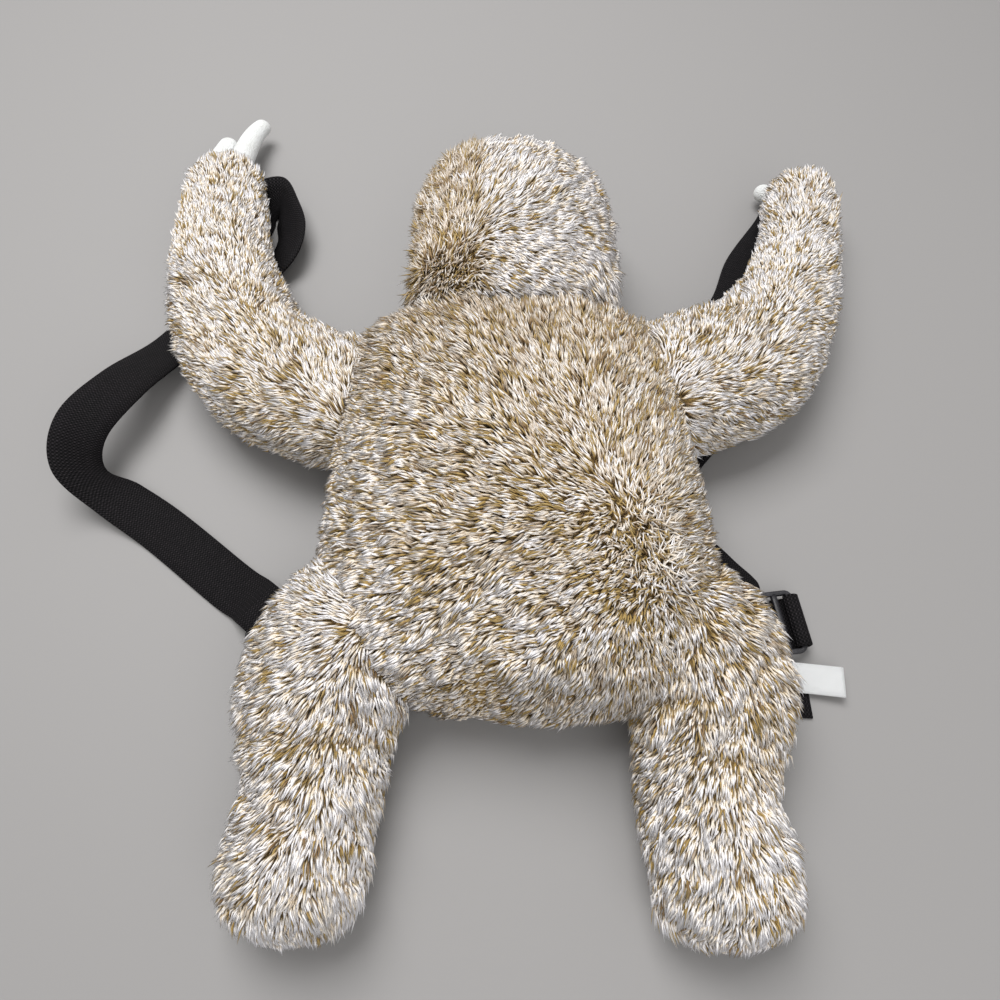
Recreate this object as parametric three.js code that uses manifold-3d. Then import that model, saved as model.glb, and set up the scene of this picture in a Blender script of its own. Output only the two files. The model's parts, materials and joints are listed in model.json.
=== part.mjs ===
// A plush sloth backpack, lying face down with its webbing straps beside it and under it.
// Millimetres, +Z up. It is drawn with x from the spine and y from the tail edge of the torso
// towards the head, then moved so that its footprint is centred on the origin.

import * as THREE from 'three';
import { mergeVertices } from 'three/addons/utils/BufferGeometryUtils.js';
import Module from 'manifold-3d';

const wasm = await Module();
wasm.setup();

// Clearance that touching pieces keep, and the height of the flat webbing's underside
const GAP = 0.4;
const FLOOR_CLEAR = 0.2;

// Fur locks: how far the tips stand off the backing and lean, how far apart they are,
// the height above the floor over which they grow to their full size,
// and the distance from a seam over which they do
const PILE = {
  rise: 6,
  lean: 3,
  spacing: 10,
  floorClear: 9,
  fullHeight: 20,
  seamClear: 5,
  seamFull: 12,
};

// How much the torso's nap runs lengthwise, against 1 sideways
const NAP_LENGTHWISE = 0.6;

// Stuffed forms: where the widest line lies between underside and top, and the limbs' height
const STUFFED = { widest: 0.45 };
const LIMB_TOP = 58;

// Pocket inside the torso: padded wall, zip slit along the spine and the strip that closes it
const POCKET = { wall: 9, slitX: -8, slitStart: 42, slitEnd: 158, slitWidth: 9, slitDepth: 40 };
const ZIP = { thick: 1.6, depth: 4, inset: 2.5 };

// Webbing straps and the flat sliders on them
const WEBBING = { width: 25, thick: 1.6, stepsPerRow: 3 };
const SLIDER = {
  length: 31,
  depth: 18,
  thick: 2.8,
  corner: 2.5,
  slotLength: 26.2,
  slotDepth: 4.75,
  bar: 7.5,
};

// Webbing round a slider bar: radius, half-turn steps, length of the end that comes back under it,
// and the two places where the left strap climbs to its bar
const WRAP = { radius: 3.3, steps: 6, back: 6 };
const LEFT_CLIMB = [{ before: 14, z: 2.6 }, { before: 7, z: 6.6 }];

const LABEL = { width: 14, thick: 1.0, stepsPerRow: 4 };

// Sliders: middle, height of the bars, direction across the bars and along them
const SLIDER_RIGHT = { x: 128, y: 50, z: 6.4, across: 7 };
const SLIDER_LEFT = { x: -112, y: 50, z: 4.5, across: -39 };
const leftBars = SLIDER_LEFT.across + 90;
const rightBars = SLIDER_RIGHT.across + 90;

// Plush forms: middle line, half width and top height out to the fur tips, underside height,
// and how far the round underside is pressed flat
const TORSO = {
  columns: 46,
  pressed: 4,
  startCap: 20,
  endCap: 24,
  rows: [
    { x: 0, y: 0, half: 62, top: 52, base: 0 },
    { x: 1, y: 22, half: 77, top: 68, base: 0 },
    { x: 2, y: 54, half: 89, top: 79, base: 0 },
    { x: 1, y: 90, half: 88, top: 85, base: 0 },
    { x: 0, y: 130, half: 85, top: 85, base: 0 },
    { x: 0, y: 165, half: 85, top: 79, base: 0 },
    { x: 1, y: 192, half: 77, top: 71, base: 0 },
    { x: 1, y: 214, half: 60, top: 62, base: 0 },
  ],
};

const HEAD = {
  columns: 32,
  pressed: 4,
  startCap: 30,
  endCap: 56,
  rows: [
    { x: 1, y: 178, half: 51, top: 72, base: 0 },
    { x: 1, y: 215, half: 56, top: 82, base: 0 },
    { x: 2, y: 255, half: 57, top: 85, base: 0 },
    { x: 1, y: 296, half: 54, top: 82, base: 0 },
    { x: 1, y: 329, half: 48, top: 74, base: 0 },
  ],
};

const ARM_LEFT = {
  columns: 18,
  pressed: 4,
  startCap: 20,
  endCap: 21,
  rows: [
    { x: -59, y: 154, half: 34, top: LIMB_TOP, base: 5 },
    { x: -101, y: 165, half: 37, top: LIMB_TOP, base: 5 },
    { x: -133, y: 184, half: 36, top: 56, base: 5 },
    { x: -152, y: 215, half: 34, top: 53, base: 5 },
    { x: -165, y: 253, half: 30, top: 50, base: 5 },
    { x: -172, y: 290, half: 27, top: 46, base: 5 },
    { x: -176, y: 326, half: 24, top: 42, base: 5 },
    { x: -174, y: 347, half: 20, top: 38, base: 5 },
  ],
};

const ARM_RIGHT = {
  columns: 18,
  pressed: 4,
  startCap: 20,
  endCap: 20,
  rows: [
    { x: 59, y: 162, half: 38, top: LIMB_TOP, base: 5 },
    { x: 97, y: 174, half: 40, top: LIMB_TOP, base: 5 },
    { x: 125, y: 188, half: 38, top: 56, base: 5 },
    { x: 146, y: 215, half: 31, top: 53, base: 5 },
    { x: 161, y: 246, half: 26, top: 50, base: 5 },
    { x: 171, y: 278, half: 23, top: 46, base: 5 },
    { x: 177, y: 309, half: 22, top: 43, base: 5 },
    { x: 174, y: 332, half: 19, top: 39, base: 5 },
  ],
};

const LEG_LEFT = {
  columns: 20,
  pressed: 4,
  startCap: 22,
  endCap: 26,
  rows: [
    { x: -50, y: 68, half: 24, top: 58, base: 9 },
    { x: -72, y: 40, half: 35.5, top: 59, base: 9 },
    { x: -81, y: 15, half: 38, top: 55, base: 7 },
    { x: -83, y: -5, half: 34, top: 51, base: 2 },
    { x: -83, y: -27, half: 29, top: 49, base: 0 },
    { x: -87, y: -52, half: 30, top: 49, base: 0 },
    { x: -89, y: -83, half: 29, top: 47, base: 0 },
  ],
};

const LEG_RIGHT = {
  columns: 20,
  pressed: 4,
  startCap: 22,
  endCap: 26,
  rows: [
    { x: 54, y: 68, half: 24, top: 58, base: 9 },
    { x: 76, y: 37, half: 36.5, top: 59, base: 9 },
    { x: 84, y: 15, half: 37, top: 55, base: 7 },
    { x: 82, y: -5, half: 33, top: 51, base: 2 },
    { x: 79, y: -27, half: 30, top: 49, base: 0 },
    { x: 82, y: -52, half: 30, top: 49, base: 0 },
    { x: 85, y: -85, half: 29, top: 47, base: 0 },
  ],
};

// Claws: smooth felt forms whose roots lie inside the hands
const CLAW_LEFT_INNER = {
  columns: 8,
  pressed: 0,
  startCap: 3,
  endCap: 5,
  rows: [
    { x: -173, y: 332, half: 7.5, top: 27, base: 13 },
    { x: -172.5, y: 356, half: 7.5, top: 24, base: 11 },
    { x: -170, y: 380, half: 6.5, top: 20, base: 9 },
    { x: -164, y: 396, half: 5, top: 17, base: 8 },
  ],
};

const CLAW_LEFT_OUTER = {
  columns: 8,
  pressed: 0,
  startCap: 3,
  endCap: 6,
  rows: [
    { x: -189, y: 326, half: 7.5, top: 26, base: 13 },
    { x: -188.5, y: 350, half: 7, top: 23, base: 11 },
    { x: -184.5, y: 378, half: 6, top: 18, base: 8 },
  ],
};

const CLAW_RIGHT = {
  columns: 8,
  pressed: 0,
  startCap: 3,
  endCap: 5,
  rows: [
    { x: 182, y: 322, half: 6.5, top: 15, base: 4 },
    { x: 170, y: 329, half: 6.5, top: 15, base: 4 },
    { x: 158, y: 336, half: 5.5, top: 14, base: 5 },
  ],
};

// Webbing routes: middle line, direction of the band's width on the floor and its lift from flat
const STRAP_LEFT_ROUTE = [
  { x: -64, y: 163, z: 5, across: 80, roll: 0 },
  { x: -100, y: 170, z: 1, across: 72, roll: 0 },
  { x: -136, y: 196, z: 1, across: 40, roll: 0 },
  { x: -156, y: 238, z: 1, across: 14, roll: 0 },
  { x: -164, y: 284, z: 1, across: 4, roll: 0 },
  { x: -163, y: 311, z: 2, across: -4, roll: -4 },
  { x: -157.5, y: 324, z: 8, across: -44, roll: -38 },
  { x: -146, y: 328.5, z: 10, across: -103, roll: -47 },
  { x: -140.5, y: 315, z: 9.5, across: -149, roll: -44 },
  { x: -136, y: 299, z: 9, across: -175, roll: -36 },
  { x: -139, y: 281, z: 8, across: -214, roll: -26 },
  { x: -155, y: 268, z: 3, across: -234, roll: -8 },
  { x: -174, y: 250, z: 1.8, across: -218, roll: 0 },
  { x: -193, y: 214, z: 6, across: -202, roll: 0 },
  { x: -206, y: 176, z: 24, across: -202, roll: 14 },
  { x: -218, y: 146, z: 29, across: -192, roll: 34 },
  { x: -219, y: 126, z: 20, across: -158, roll: 36 },
  { x: -203, y: 116, z: 7, across: -132, roll: 12 },
  { x: -178, y: 100, z: 1.2, across: -128, roll: 0 },
  { x: -140, y: 71, z: 1.0, across: -128, roll: 0 },
];

const STRAP_RIGHT_ROUTE = [
  { x: 58, y: 170, z: 5, across: 130, roll: 0 },
  { x: 94, y: 204, z: 1, across: 134, roll: 0 },
  { x: 129, y: 241, z: 1, across: 144, roll: 0 },
  { x: 146, y: 278, z: 1, across: 150, roll: 0 },
  { x: 168, y: 310, z: 1, across: 152, roll: 0 },
  { x: 173, y: 319, z: 1.2, across: 152, roll: 0 },
  { x: 174, y: 321, z: 2.4, across: 152, roll: 0 },
  { x: 173, y: 319, z: 3.6, across: 152, roll: 0 },
  { x: 171, y: 305, z: 3.8, across: 158, roll: 0 },
  { x: 166, y: 262, z: 3.8, across: 158, roll: 0 },
  { x: 148, y: 218, z: 2.0, across: 148, roll: 0 },
  { x: 117, y: 173, z: 1.0, across: 142, roll: 0 },
  { x: 86, y: 136, z: 1.0, across: 148, roll: 0 },
  { x: 81, y: 107, z: 1.0, across: 182, roll: 0 },
  { x: 98.5, y: 78, z: 4.0, across: 213, roll: 0 },
  { x: 110.5, y: 61.5, z: 8.8, across: 238, roll: 0 },
  { x: 117, y: 55, z: 9.7, across: 260, roll: 0 },
];

const HIP_TAB_RIGHT_ROUTE = [
  { x: 82, y: 44.4, z: 1.0, across: rightBars, roll: 0 },
  { x: 115, y: 48.4, z: 1.0, across: rightBars, roll: 0 },
  { x: 129, y: 50.1, z: 2.4, across: rightBars, roll: 0 },
];

const HIP_TAB_LEFT_ROUTE = [
  { x: -68, y: 16, z: 12, across: leftBars + 180, roll: 0 },
  { x: -84, y: 28, z: 8.5, across: leftBars + 180, roll: 0 },
];

const STRAP_TAIL_ROUTE = [
  { x: 78, y: 23, z: 10, across: 90, roll: 0 },
  { x: 104, y: 21, z: 1.8, across: 90, roll: 0 },
  { x: 120, y: 20, z: 1.0, across: 90, roll: 0 },
  { x: 137, y: 19, z: 1.0, across: 90, roll: 0 },
];

const LABEL_ROUTE = [
  { x: 92, y: 28, z: 10, across: 84, roll: 0 },
  { x: 116, y: 26, z: 4.2, across: 84, roll: 0 },
  { x: 134, y: 24.5, z: 3.5, across: 84, roll: 0 },
  { x: 153, y: 22, z: 5.2, across: 84, roll: 0 },
];

const FINISH = {
  plush: { color: 0xb3a48e, roughness: 0.95, metalness: 0 },
  felt: { color: 0xf0f2f2, roughness: 0.9, metalness: 0 },
  webbing: { color: 0x1c1a1e, roughness: 0.8, metalness: 0 },
  plastic: { color: 0x2b2b2f, roughness: 0.45, metalness: 0 },
  label: { color: 0xf2f6f6, roughness: 0.7, metalness: 0 },
};

function smoothstep(low, high, value) {
  return THREE.MathUtils.smoothstep(value, low, high);
}

// Reads a form's rows as smooth functions of the distance along its middle line
class Form {
  constructor(table) {
    this.table = table;
    const rows = table.rows;
    this.plan = new THREE.CatmullRomCurve3(rows.map((r) => new THREE.Vector3(r.x, r.y, 0)));
    this.sizes = new THREE.CatmullRomCurve3(rows.map((r) => new THREE.Vector3(r.half, r.top, r.base)));
    this.plan.curveType = 'catmullrom';
    this.sizes.curveType = 'catmullrom';
    this.length = this.plan.getLength();
  }

  // Middle point, heading and sizes at a distance, run straight on past both ends
  at(distance) {
    const inside = THREE.MathUtils.clamp(distance, 0, this.length);
    const t = this.plan.getUtoTmapping(inside / this.length);
    const heading = this.plan.getTangent(t);
    const point = this.plan.getPoint(t).addScaledVector(heading, distance - inside);
    const size = this.sizes.getPoint(t);
    return { point, heading, half: size.x, top: size.y, base: Math.max(0, size.z) };
  }

  // How full the section is: round at the two ends and full between them
  fullness(distance, grow) {
    const { startCap, endCap } = this.table;
    const fromStart = (distance + grow) / (startCap + grow);
    const fromEnd = (this.length + grow - distance) / (endCap + grow);
    const nearest = THREE.MathUtils.clamp(Math.min(fromStart, fromEnd), 0, 1);
    return Math.sqrt(1 - (1 - nearest) ** 2);
  }

  // Distances of the rings, closer together on the round ends
  ringDistances(grow, spacing) {
    const { startCap, endCap } = this.table;
    const distances = [];
    const startSteps = Math.max(2, Math.round(((startCap + grow) * Math.PI) / 2 / spacing));
    for (let k = 1; k <= startSteps; k += 1) {
      const turn = (k / startSteps) * (Math.PI / 2);
      distances.push(-grow + (startCap + grow) * (1 - Math.cos(turn)));
    }
    const straight = this.length - startCap - endCap;
    const straightSteps = Math.max(1, Math.round(straight / spacing));
    for (let k = 1; k < straightSteps; k += 1) {
      distances.push(startCap + (straight * k) / straightSteps);
    }
    const endSteps = Math.max(2, Math.round(((endCap + grow) * Math.PI) / 2 / spacing));
    for (let k = 0; k < endSteps; k += 1) {
      const turn = (k / endSteps) * (Math.PI / 2);
      distances.push(this.length - endCap + (endCap + grow) * Math.sin(turn));
    }
    return distances;
  }

  // Distance on the floor from a point to the round outline of a narrow form
  outlineDistance(point) {
    const samples = 24;
    let nearest = Infinity;
    for (let k = 0; k <= samples; k += 1) {
      const station = this.at((this.length * k) / samples);
      const away = Math.hypot(point.x - station.point.x, point.y - station.point.y);
      nearest = Math.min(nearest, away - station.half);
    }
    return nearest;
  }

  // Distance sideways from a point to the outline of a form that runs along y
  sideDistance(point) {
    const along = point.y - this.table.rows[0].y;
    if (along < 0 || along > this.length) {
      return Infinity;
    }
    const station = this.at(along);
    return Math.abs(point.x - station.point.x) - station.half * this.fullness(along, 0);
  }
}

// One closed surface round a form: rings of points between two end points, grown outwards
// at the sides and top by one amount and at the underside by another
function formGeometry(form, { grow, growUnder, spacing, locks }) {
  const { columns, pressed } = form.table;
  const distances = form.ringDistances(grow, spacing);
  const first = form.at(-grow);
  const last = form.at(form.length + grow);
  const vertices = [];
  const headings = [];
  const addPoint = (point, heading) => {
    vertices.push(point.x, point.y, point.z);
    headings.push(heading);
  };
  const middleHeight = (station) => station.base + STUFFED.widest * (station.top - station.base);
  addPoint(first.point.clone().setZ(middleHeight(first)), first.heading);
  distances.forEach((distance) => {
    const station = form.at(distance);
    const full = form.fullness(distance, grow);
    const middle = middleHeight(station);
    const floor = station.base - growUnder;
    for (let j = 0; j < columns; j += 1) {
      const turn = (2 * Math.PI * j) / columns;
      const sideways = (station.half + grow) * full * Math.cos(turn);
      const up = station.top + grow - middle;
      const down = middle - station.base + pressed + growUnder;
      const lift = (Math.sin(turn) > 0 ? up : down) * full * Math.sin(turn);
      const x = station.point.x - station.heading.y * sideways;
      const y = station.point.y + station.heading.x * sideways;
      addPoint(new THREE.Vector3(x, y, Math.max(middle + lift, floor)), station.heading);
    }
  });
  addPoint(last.point.clone().setZ(middleHeight(last)), last.heading);

  const triangles = [];
  const rings = distances.length;
  const corner = (i, j) => 1 + i * columns + (j % columns);
  const end = 1 + rings * columns;
  for (let j = 0; j < columns; j += 1) {
    triangles.push(0, corner(0, j + 1), corner(0, j));
    triangles.push(end, corner(rings - 1, j), corner(rings - 1, j + 1));
    for (let i = 0; i + 1 < rings; i += 1) {
      triangles.push(corner(i, j), corner(i + 1, j + 1), corner(i + 1, j));
      triangles.push(corner(i, j), corner(i, j + 1), corner(i + 1, j + 1));
    }
  }
  const geometry = new THREE.BufferGeometry();
  geometry.setAttribute('position', new THREE.Float32BufferAttribute(vertices, 3));
  geometry.setIndex(triangles);
  if (locks) {
    raiseLocks(geometry, { rings, columns, headings, corner, ...locks });
  }
  return geometry;
}

// Pulls every fourth point, and the far end, out into the tip of a lock that leans with the nap
function raiseLocks(geometry, { rings, columns, headings, corner, nap, bare }) {
  geometry.computeVertexNormals();
  const position = geometry.attributes.position;
  const normals = geometry.attributes.normal;
  const point = new THREE.Vector3();
  const normal = new THREE.Vector3();
  for (let i = 1; i < rings - 1; i += 2) {
    const stagger = ((i - 1) / 2) % 2;
    for (let j = stagger; j < columns; j += 2) {
      const index = corner(i, j);
      point.fromBufferAttribute(position, index);
      normal.fromBufferAttribute(normals, index);
      const size = smoothstep(PILE.floorClear, PILE.fullHeight, point.z) * (1 - bare(point));
      const lean = nap(point, headings[index]).clone();
      lean.addScaledVector(normal, -lean.dot(normal));
      point.addScaledVector(normal, PILE.rise * size);
      point.addScaledVector(lean, PILE.lean * size);
      position.setXYZ(index, point.x, point.y, point.z);
    }
  }
  const tip = 1 + rings * columns;
  point.fromBufferAttribute(position, tip);
  point.addScaledVector(headings[tip], PILE.rise * (1 - bare(point)));
  position.setXYZ(tip, point.x, point.y, point.z);
  geometry.deleteAttribute('normal');
}

// A band of even width swept along a route, with square ends
function ribbonGeometry(route, { width, thick, stepsPerRow }, grow = 0) {
  const middle = new THREE.CatmullRomCurve3(route.map((r) => new THREE.Vector3(r.x, r.y, r.z)));
  const turns = new THREE.CatmullRomCurve3(route.map((r) => new THREE.Vector3(r.across, r.roll, 0)));
  middle.curveType = 'catmullrom';
  turns.curveType = 'catmullrom';
  const steps = (route.length - 1) * stepsPerRow;
  const vertices = [];
  for (let k = 0; k <= steps; k += 1) {
    const t = k / steps;
    const heading = middle.getTangent(t);
    const turn = turns.getPoint(t);
    const across = THREE.MathUtils.degToRad(turn.x);
    const roll = THREE.MathUtils.degToRad(turn.y);
    const side = new THREE.Vector3(
      Math.cos(across) * Math.cos(roll),
      Math.sin(across) * Math.cos(roll),
      Math.sin(roll),
    );
    const face = new THREE.Vector3().crossVectors(heading, side).normalize();
    const point = middle.getPoint(t);
    const reach = (width / 2) * Math.abs(Math.sin(roll)) + (thick / 2) * Math.cos(roll);
    point.z = Math.max(point.z, FLOOR_CLEAR + reach);
    if (k === 0 || k === steps) {
      point.addScaledVector(heading, k === 0 ? -grow : grow);
    }
    [[1, 1], [-1, 1], [-1, -1], [1, -1]].forEach(([a, b]) => {
      const place = point.clone();
      place.addScaledVector(side, a * (width / 2 + grow));
      place.addScaledVector(face, b * (thick / 2 + grow));
      vertices.push(place.x, place.y, place.z);
    });
  }
  const triangles = [];
  for (let k = 0; k < steps; k += 1) {
    for (let c = 0; c < 4; c += 1) {
      const a = 4 * k + c;
      const b = 4 * k + ((c + 1) % 4);
      triangles.push(a, b, b + 4);
      triangles.push(a, b + 4, a + 4);
    }
  }
  const end = 4 * steps;
  triangles.push(0, 2, 1, 0, 3, 2);
  triangles.push(end, end + 1, end + 2, end, end + 2, end + 3);
  const geometry = new THREE.BufferGeometry();
  geometry.setAttribute('position', new THREE.Float32BufferAttribute(vertices, 3));
  geometry.setIndex(triangles);
  return geometry;
}

// Rows of a route that goes half round one bar of a slider
function wrapRows(slider, bar, startTurn, endTurn, across) {
  const rows = [];
  const direction = THREE.MathUtils.degToRad(slider.across);
  for (let k = 0; k <= WRAP.steps; k += 1) {
    const turn = THREE.MathUtils.degToRad(startTurn + ((endTurn - startTurn) * k) / WRAP.steps);
    const out = bar + WRAP.radius * Math.cos(turn);
    rows.push({
      x: slider.x + out * Math.cos(direction),
      y: slider.y + out * Math.sin(direction),
      z: slider.z + WRAP.radius * Math.sin(turn),
      across,
      roll: 0,
    });
  }
  return rows;
}

// Row of a route beside a slider, at a distance across its bars
function besideRow(slider, out, z, across) {
  const direction = THREE.MathUtils.degToRad(slider.across);
  return {
    x: slider.x + out * Math.cos(direction),
    y: slider.y + out * Math.sin(direction),
    z,
    across,
    roll: 0,
  };
}

// A flat loop with three bars, its bars along y
function sliderGeometry() {
  const { length, depth, thick, corner, slotLength, slotDepth, bar } = SLIDER;
  const outline = new THREE.Shape();
  const x = depth / 2;
  const y = length / 2;
  outline.absarc(x - corner, -y + corner, corner, -Math.PI / 2, 0);
  outline.absarc(x - corner, y - corner, corner, 0, Math.PI / 2);
  outline.absarc(-x + corner, y - corner, corner, Math.PI / 2, Math.PI);
  outline.absarc(-x + corner, -y + corner, corner, Math.PI, 1.5 * Math.PI);
  const plate = new THREE.ExtrudeGeometry(outline, { depth: thick, bevelEnabled: false, curveSegments: 4 });
  const slots = [-bar / 2, bar / 2].map((middle) => {
    const slot = new THREE.BoxGeometry(slotDepth, slotLength, 2 * thick);
    return solidOf(slot.translate(middle, 0, 0));
  });
  return geometryOf(subtractAll(solidOf(plate.translate(0, 0, -thick / 2)), slots));
}

// A closed mesh as a solid for cutting
function solidOf(geometry) {
  const bare = geometry.clone();
  bare.deleteAttribute('normal');
  bare.deleteAttribute('uv');
  const merged = mergeVertices(bare, 1e-4);
  return new wasm.Manifold(new wasm.Mesh({
    numProp: 3,
    vertProperties: new Float32Array(merged.attributes.position.array),
    triVerts: new Uint32Array(merged.index.array),
  }));
}

function geometryOf(solid) {
  const mesh = solid.getMesh();
  const geometry = new THREE.BufferGeometry();
  geometry.setAttribute('position', new THREE.Float32BufferAttribute(mesh.vertProperties, 3));
  geometry.setIndex(Array.from(mesh.triVerts));
  return geometry;
}

function subtractAll(solid, cutters) {
  return cutters.reduce((rest, cutter) => rest.subtract(cutter), solid);
}

function addMesh(group, name, geometry, finish) {
  const mesh = new THREE.Mesh(geometry, new THREE.MeshStandardMaterial(finish));
  mesh.name = name;
  group.add(mesh);
  return mesh;
}

// How far the surfaces lie from the sizes in the tables
const BACKING = { grow: -PILE.rise, growUnder: 0, spacing: PILE.spacing };
const CLAW_FELT = { grow: 0, growUnder: 0, spacing: 5 };
const CLAW_ROOM = { grow: GAP, growUnder: GAP, spacing: 5 };

const torsoForm = new Form(TORSO);
const headForm = new Form(HEAD);
const limbForms = {
  arm_left: new Form(ARM_LEFT),
  arm_right: new Form(ARM_RIGHT),
  leg_left: new Form(LEG_LEFT),
  leg_right: new Form(LEG_RIGHT),
};
const clawForms = {
  claw_left_inner: new Form(CLAW_LEFT_INNER),
  claw_left_outer: new Form(CLAW_LEFT_OUTER),
  claw_right: new Form(CLAW_RIGHT),
};
const clawHands = { arm_left: ['claw_left_inner', 'claw_left_outer'], arm_right: ['claw_right'] };

// Webbing that ends on a slider bar: over the bar, round it and a short way back underneath
const strapLeftRoute = [
  ...STRAP_LEFT_ROUTE,
  ...LEFT_CLIMB.map(({ before, z }) => besideRow(SLIDER_LEFT, -SLIDER.bar - before, z, leftBars - 180)),
  ...wrapRows(SLIDER_LEFT, -SLIDER.bar, 90, -90, leftBars - 180),
  besideRow(SLIDER_LEFT, -SLIDER.bar - WRAP.back, SLIDER_LEFT.z - WRAP.radius, leftBars - 180),
];
const hipTabLeftRoute = [
  ...HIP_TAB_LEFT_ROUTE,
  ...wrapRows(SLIDER_LEFT, SLIDER.bar, 90, 270, leftBars + 180),
  besideRow(SLIDER_LEFT, SLIDER.bar + WRAP.back, SLIDER_LEFT.z - WRAP.radius, leftBars + 180),
];
const strapRightRoute = [
  ...STRAP_RIGHT_ROUTE,
  ...wrapRows(SLIDER_RIGHT, -SLIDER.bar, 90, -90, rightBars + 180),
  besideRow(SLIDER_RIGHT, -SLIDER.bar - WRAP.back, SLIDER_RIGHT.z - WRAP.radius, rightBars + 180),
];
const hipTabRightRoute = [
  ...HIP_TAB_RIGHT_ROUTE,
  ...wrapRows(SLIDER_RIGHT, SLIDER.bar, -90, 165, rightBars),
];
const bands = {
  strap_left: { route: strapLeftRoute, section: WEBBING },
  strap_right: { route: strapRightRoute, section: WEBBING },
  hip_tab_left: { route: hipTabLeftRoute, section: WEBBING },
  hip_tab_right: { route: hipTabRightRoute, section: WEBBING },
  strap_tail_right: { route: STRAP_TAIL_ROUTE, section: WEBBING },
  care_label: { route: LABEL_ROUTE, section: LABEL },
};

function placeSlider(object, slider) {
  object.position.set(slider.x, slider.y, slider.z);
  object.rotation.z = THREE.MathUtils.degToRad(slider.across);
  return object;
}

// Room round the bands and sliders, cut out of the plush that lies over them
const bandRoom = Object.values(bands).map(({ route, section }) => {
  return solidOf(ribbonGeometry(route, section, GAP));
});
const sliderRoom = [SLIDER_RIGHT, SLIDER_LEFT].map((slider) => {
  const { length, depth, thick } = SLIDER;
  const box = new THREE.BoxGeometry(depth + 2 * GAP, length + 2 * GAP, thick + 2 * GAP);
  const holder = placeSlider(new THREE.Object3D(), slider);
  holder.updateMatrix();
  return solidOf(box.applyMatrix4(holder.matrix));
});
const hardwareRoom = [...bandRoom, ...sliderRoom];

// The torso shell: fur locks outside, the pocket inside and the slit between them
function torsoNap(point) {
  const middle = torsoForm.at(torsoForm.length / 2).point;
  return new THREE.Vector3(point.x - middle.x, NAP_LENGTHWISE * (point.y - middle.y), 0).normalize();
}

// 1 at a seam, falling to 0 where the locks have their full size
function nearSeam(distance) {
  return 1 - smoothstep(PILE.seamClear, PILE.seamFull, distance);
}

function torsoBare(point) {
  const limbs = Object.values(limbForms).map((form) => form.outlineDistance(point));
  const nearest = Math.min(...limbs);
  const toSlit = Math.abs(point.x - POCKET.slitX) - POCKET.slitWidth;
  const onSlit = point.y > POCKET.slitStart - PILE.spacing && point.y < POCKET.slitEnd + PILE.spacing;
  const underLimbTop = 1 - smoothstep(LIMB_TOP, LIMB_TOP + PILE.rise, point.z);
  const besideHead = nearSeam(headForm.sideDistance(point));
  const limbBare = Math.max(underLimbTop * nearSeam(nearest), besideHead);
  return onSlit ? Math.max(limbBare, toSlit < 0 ? 1 : 0) : limbBare;
}

function spineRoute(depth, inset) {
  const rows = [];
  const count = 6;
  const start = POCKET.slitStart + inset;
  const end = POCKET.slitEnd - inset;
  for (let k = 0; k <= count; k += 1) {
    const y = start + ((end - start) * k) / count;
    const station = torsoForm.at(y - TORSO.rows[0].y);
    rows.push({ x: POCKET.slitX, y, z: station.top - PILE.rise - depth, across: 0, roll: 0 });
  }
  return rows;
}

const slit = { width: POCKET.slitWidth, thick: POCKET.slitDepth, stepsPerRow: 2 };
const zip = { width: POCKET.slitWidth - 2 * GAP, thick: ZIP.thick, stepsPerRow: 2 };
const torsoLocks = { nap: torsoNap, bare: torsoBare };
const torsoOuter = solidOf(formGeometry(torsoForm, { ...BACKING, locks: torsoLocks }));
const pocketSpace = solidOf(formGeometry(torsoForm, {
  grow: -PILE.rise - POCKET.wall,
  growUnder: -POCKET.wall,
  spacing: 2 * PILE.spacing,
}));
const slitSpace = solidOf(ribbonGeometry(spineRoute(0, 0), slit));
const torsoSolid = subtractAll(torsoOuter, [pocketSpace, slitSpace, ...hardwareRoom]);

// The head and limbs are cut to the torso's backing where they are sewn to it
const torsoRoom = solidOf(formGeometry(torsoForm, { ...BACKING, grow: GAP - PILE.rise, growUnder: GAP }));

function cutLimb(form, extraRoom) {
  const locks = {
    nap: (point, heading) => heading,
    bare: (point) => nearSeam(torsoForm.sideDistance(point)),
  };
  const outer = solidOf(formGeometry(form, { ...BACKING, locks }));
  return subtractAll(outer, [torsoRoom, ...extraRoom, ...hardwareRoom]);
}

const assembly = new THREE.Group();
addMesh(assembly, 'torso', geometryOf(torsoSolid), FINISH.plush);
addMesh(assembly, 'zip_closure', ribbonGeometry(spineRoute(ZIP.depth, ZIP.inset), zip), FINISH.webbing);

addMesh(assembly, 'head', geometryOf(cutLimb(headForm, [])), FINISH.plush);

Object.entries(limbForms).forEach(([name, form]) => {
  const claws = clawHands[name] ?? [];
  const clawRoom = claws.map((claw) => solidOf(formGeometry(clawForms[claw], CLAW_ROOM)));
  addMesh(assembly, name, geometryOf(cutLimb(form, clawRoom)), FINISH.plush);
});

Object.entries(clawForms).forEach(([name, form]) => {
  addMesh(assembly, name, formGeometry(form, CLAW_FELT), FINISH.felt);
});

Object.entries(bands).forEach(([name, { route, section }]) => {
  const finish = name === 'care_label' ? FINISH.label : FINISH.webbing;
  addMesh(assembly, name, ribbonGeometry(route, section), finish);
});

placeSlider(addMesh(assembly, 'slider_right', sliderGeometry(), FINISH.plastic), SLIDER_RIGHT);
placeSlider(addMesh(assembly, 'slider_left', sliderGeometry(), FINISH.plastic), SLIDER_LEFT);

// The footprint is centred on the origin, and the floor is at z = 0
assembly.updateMatrixWorld(true);
const footprint = new THREE.Box3().setFromObject(assembly, true);
const centre = footprint.getCenter(new THREE.Vector3());
assembly.position.set(-centre.x, -centre.y, -footprint.min.z);

export default assembly;
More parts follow.
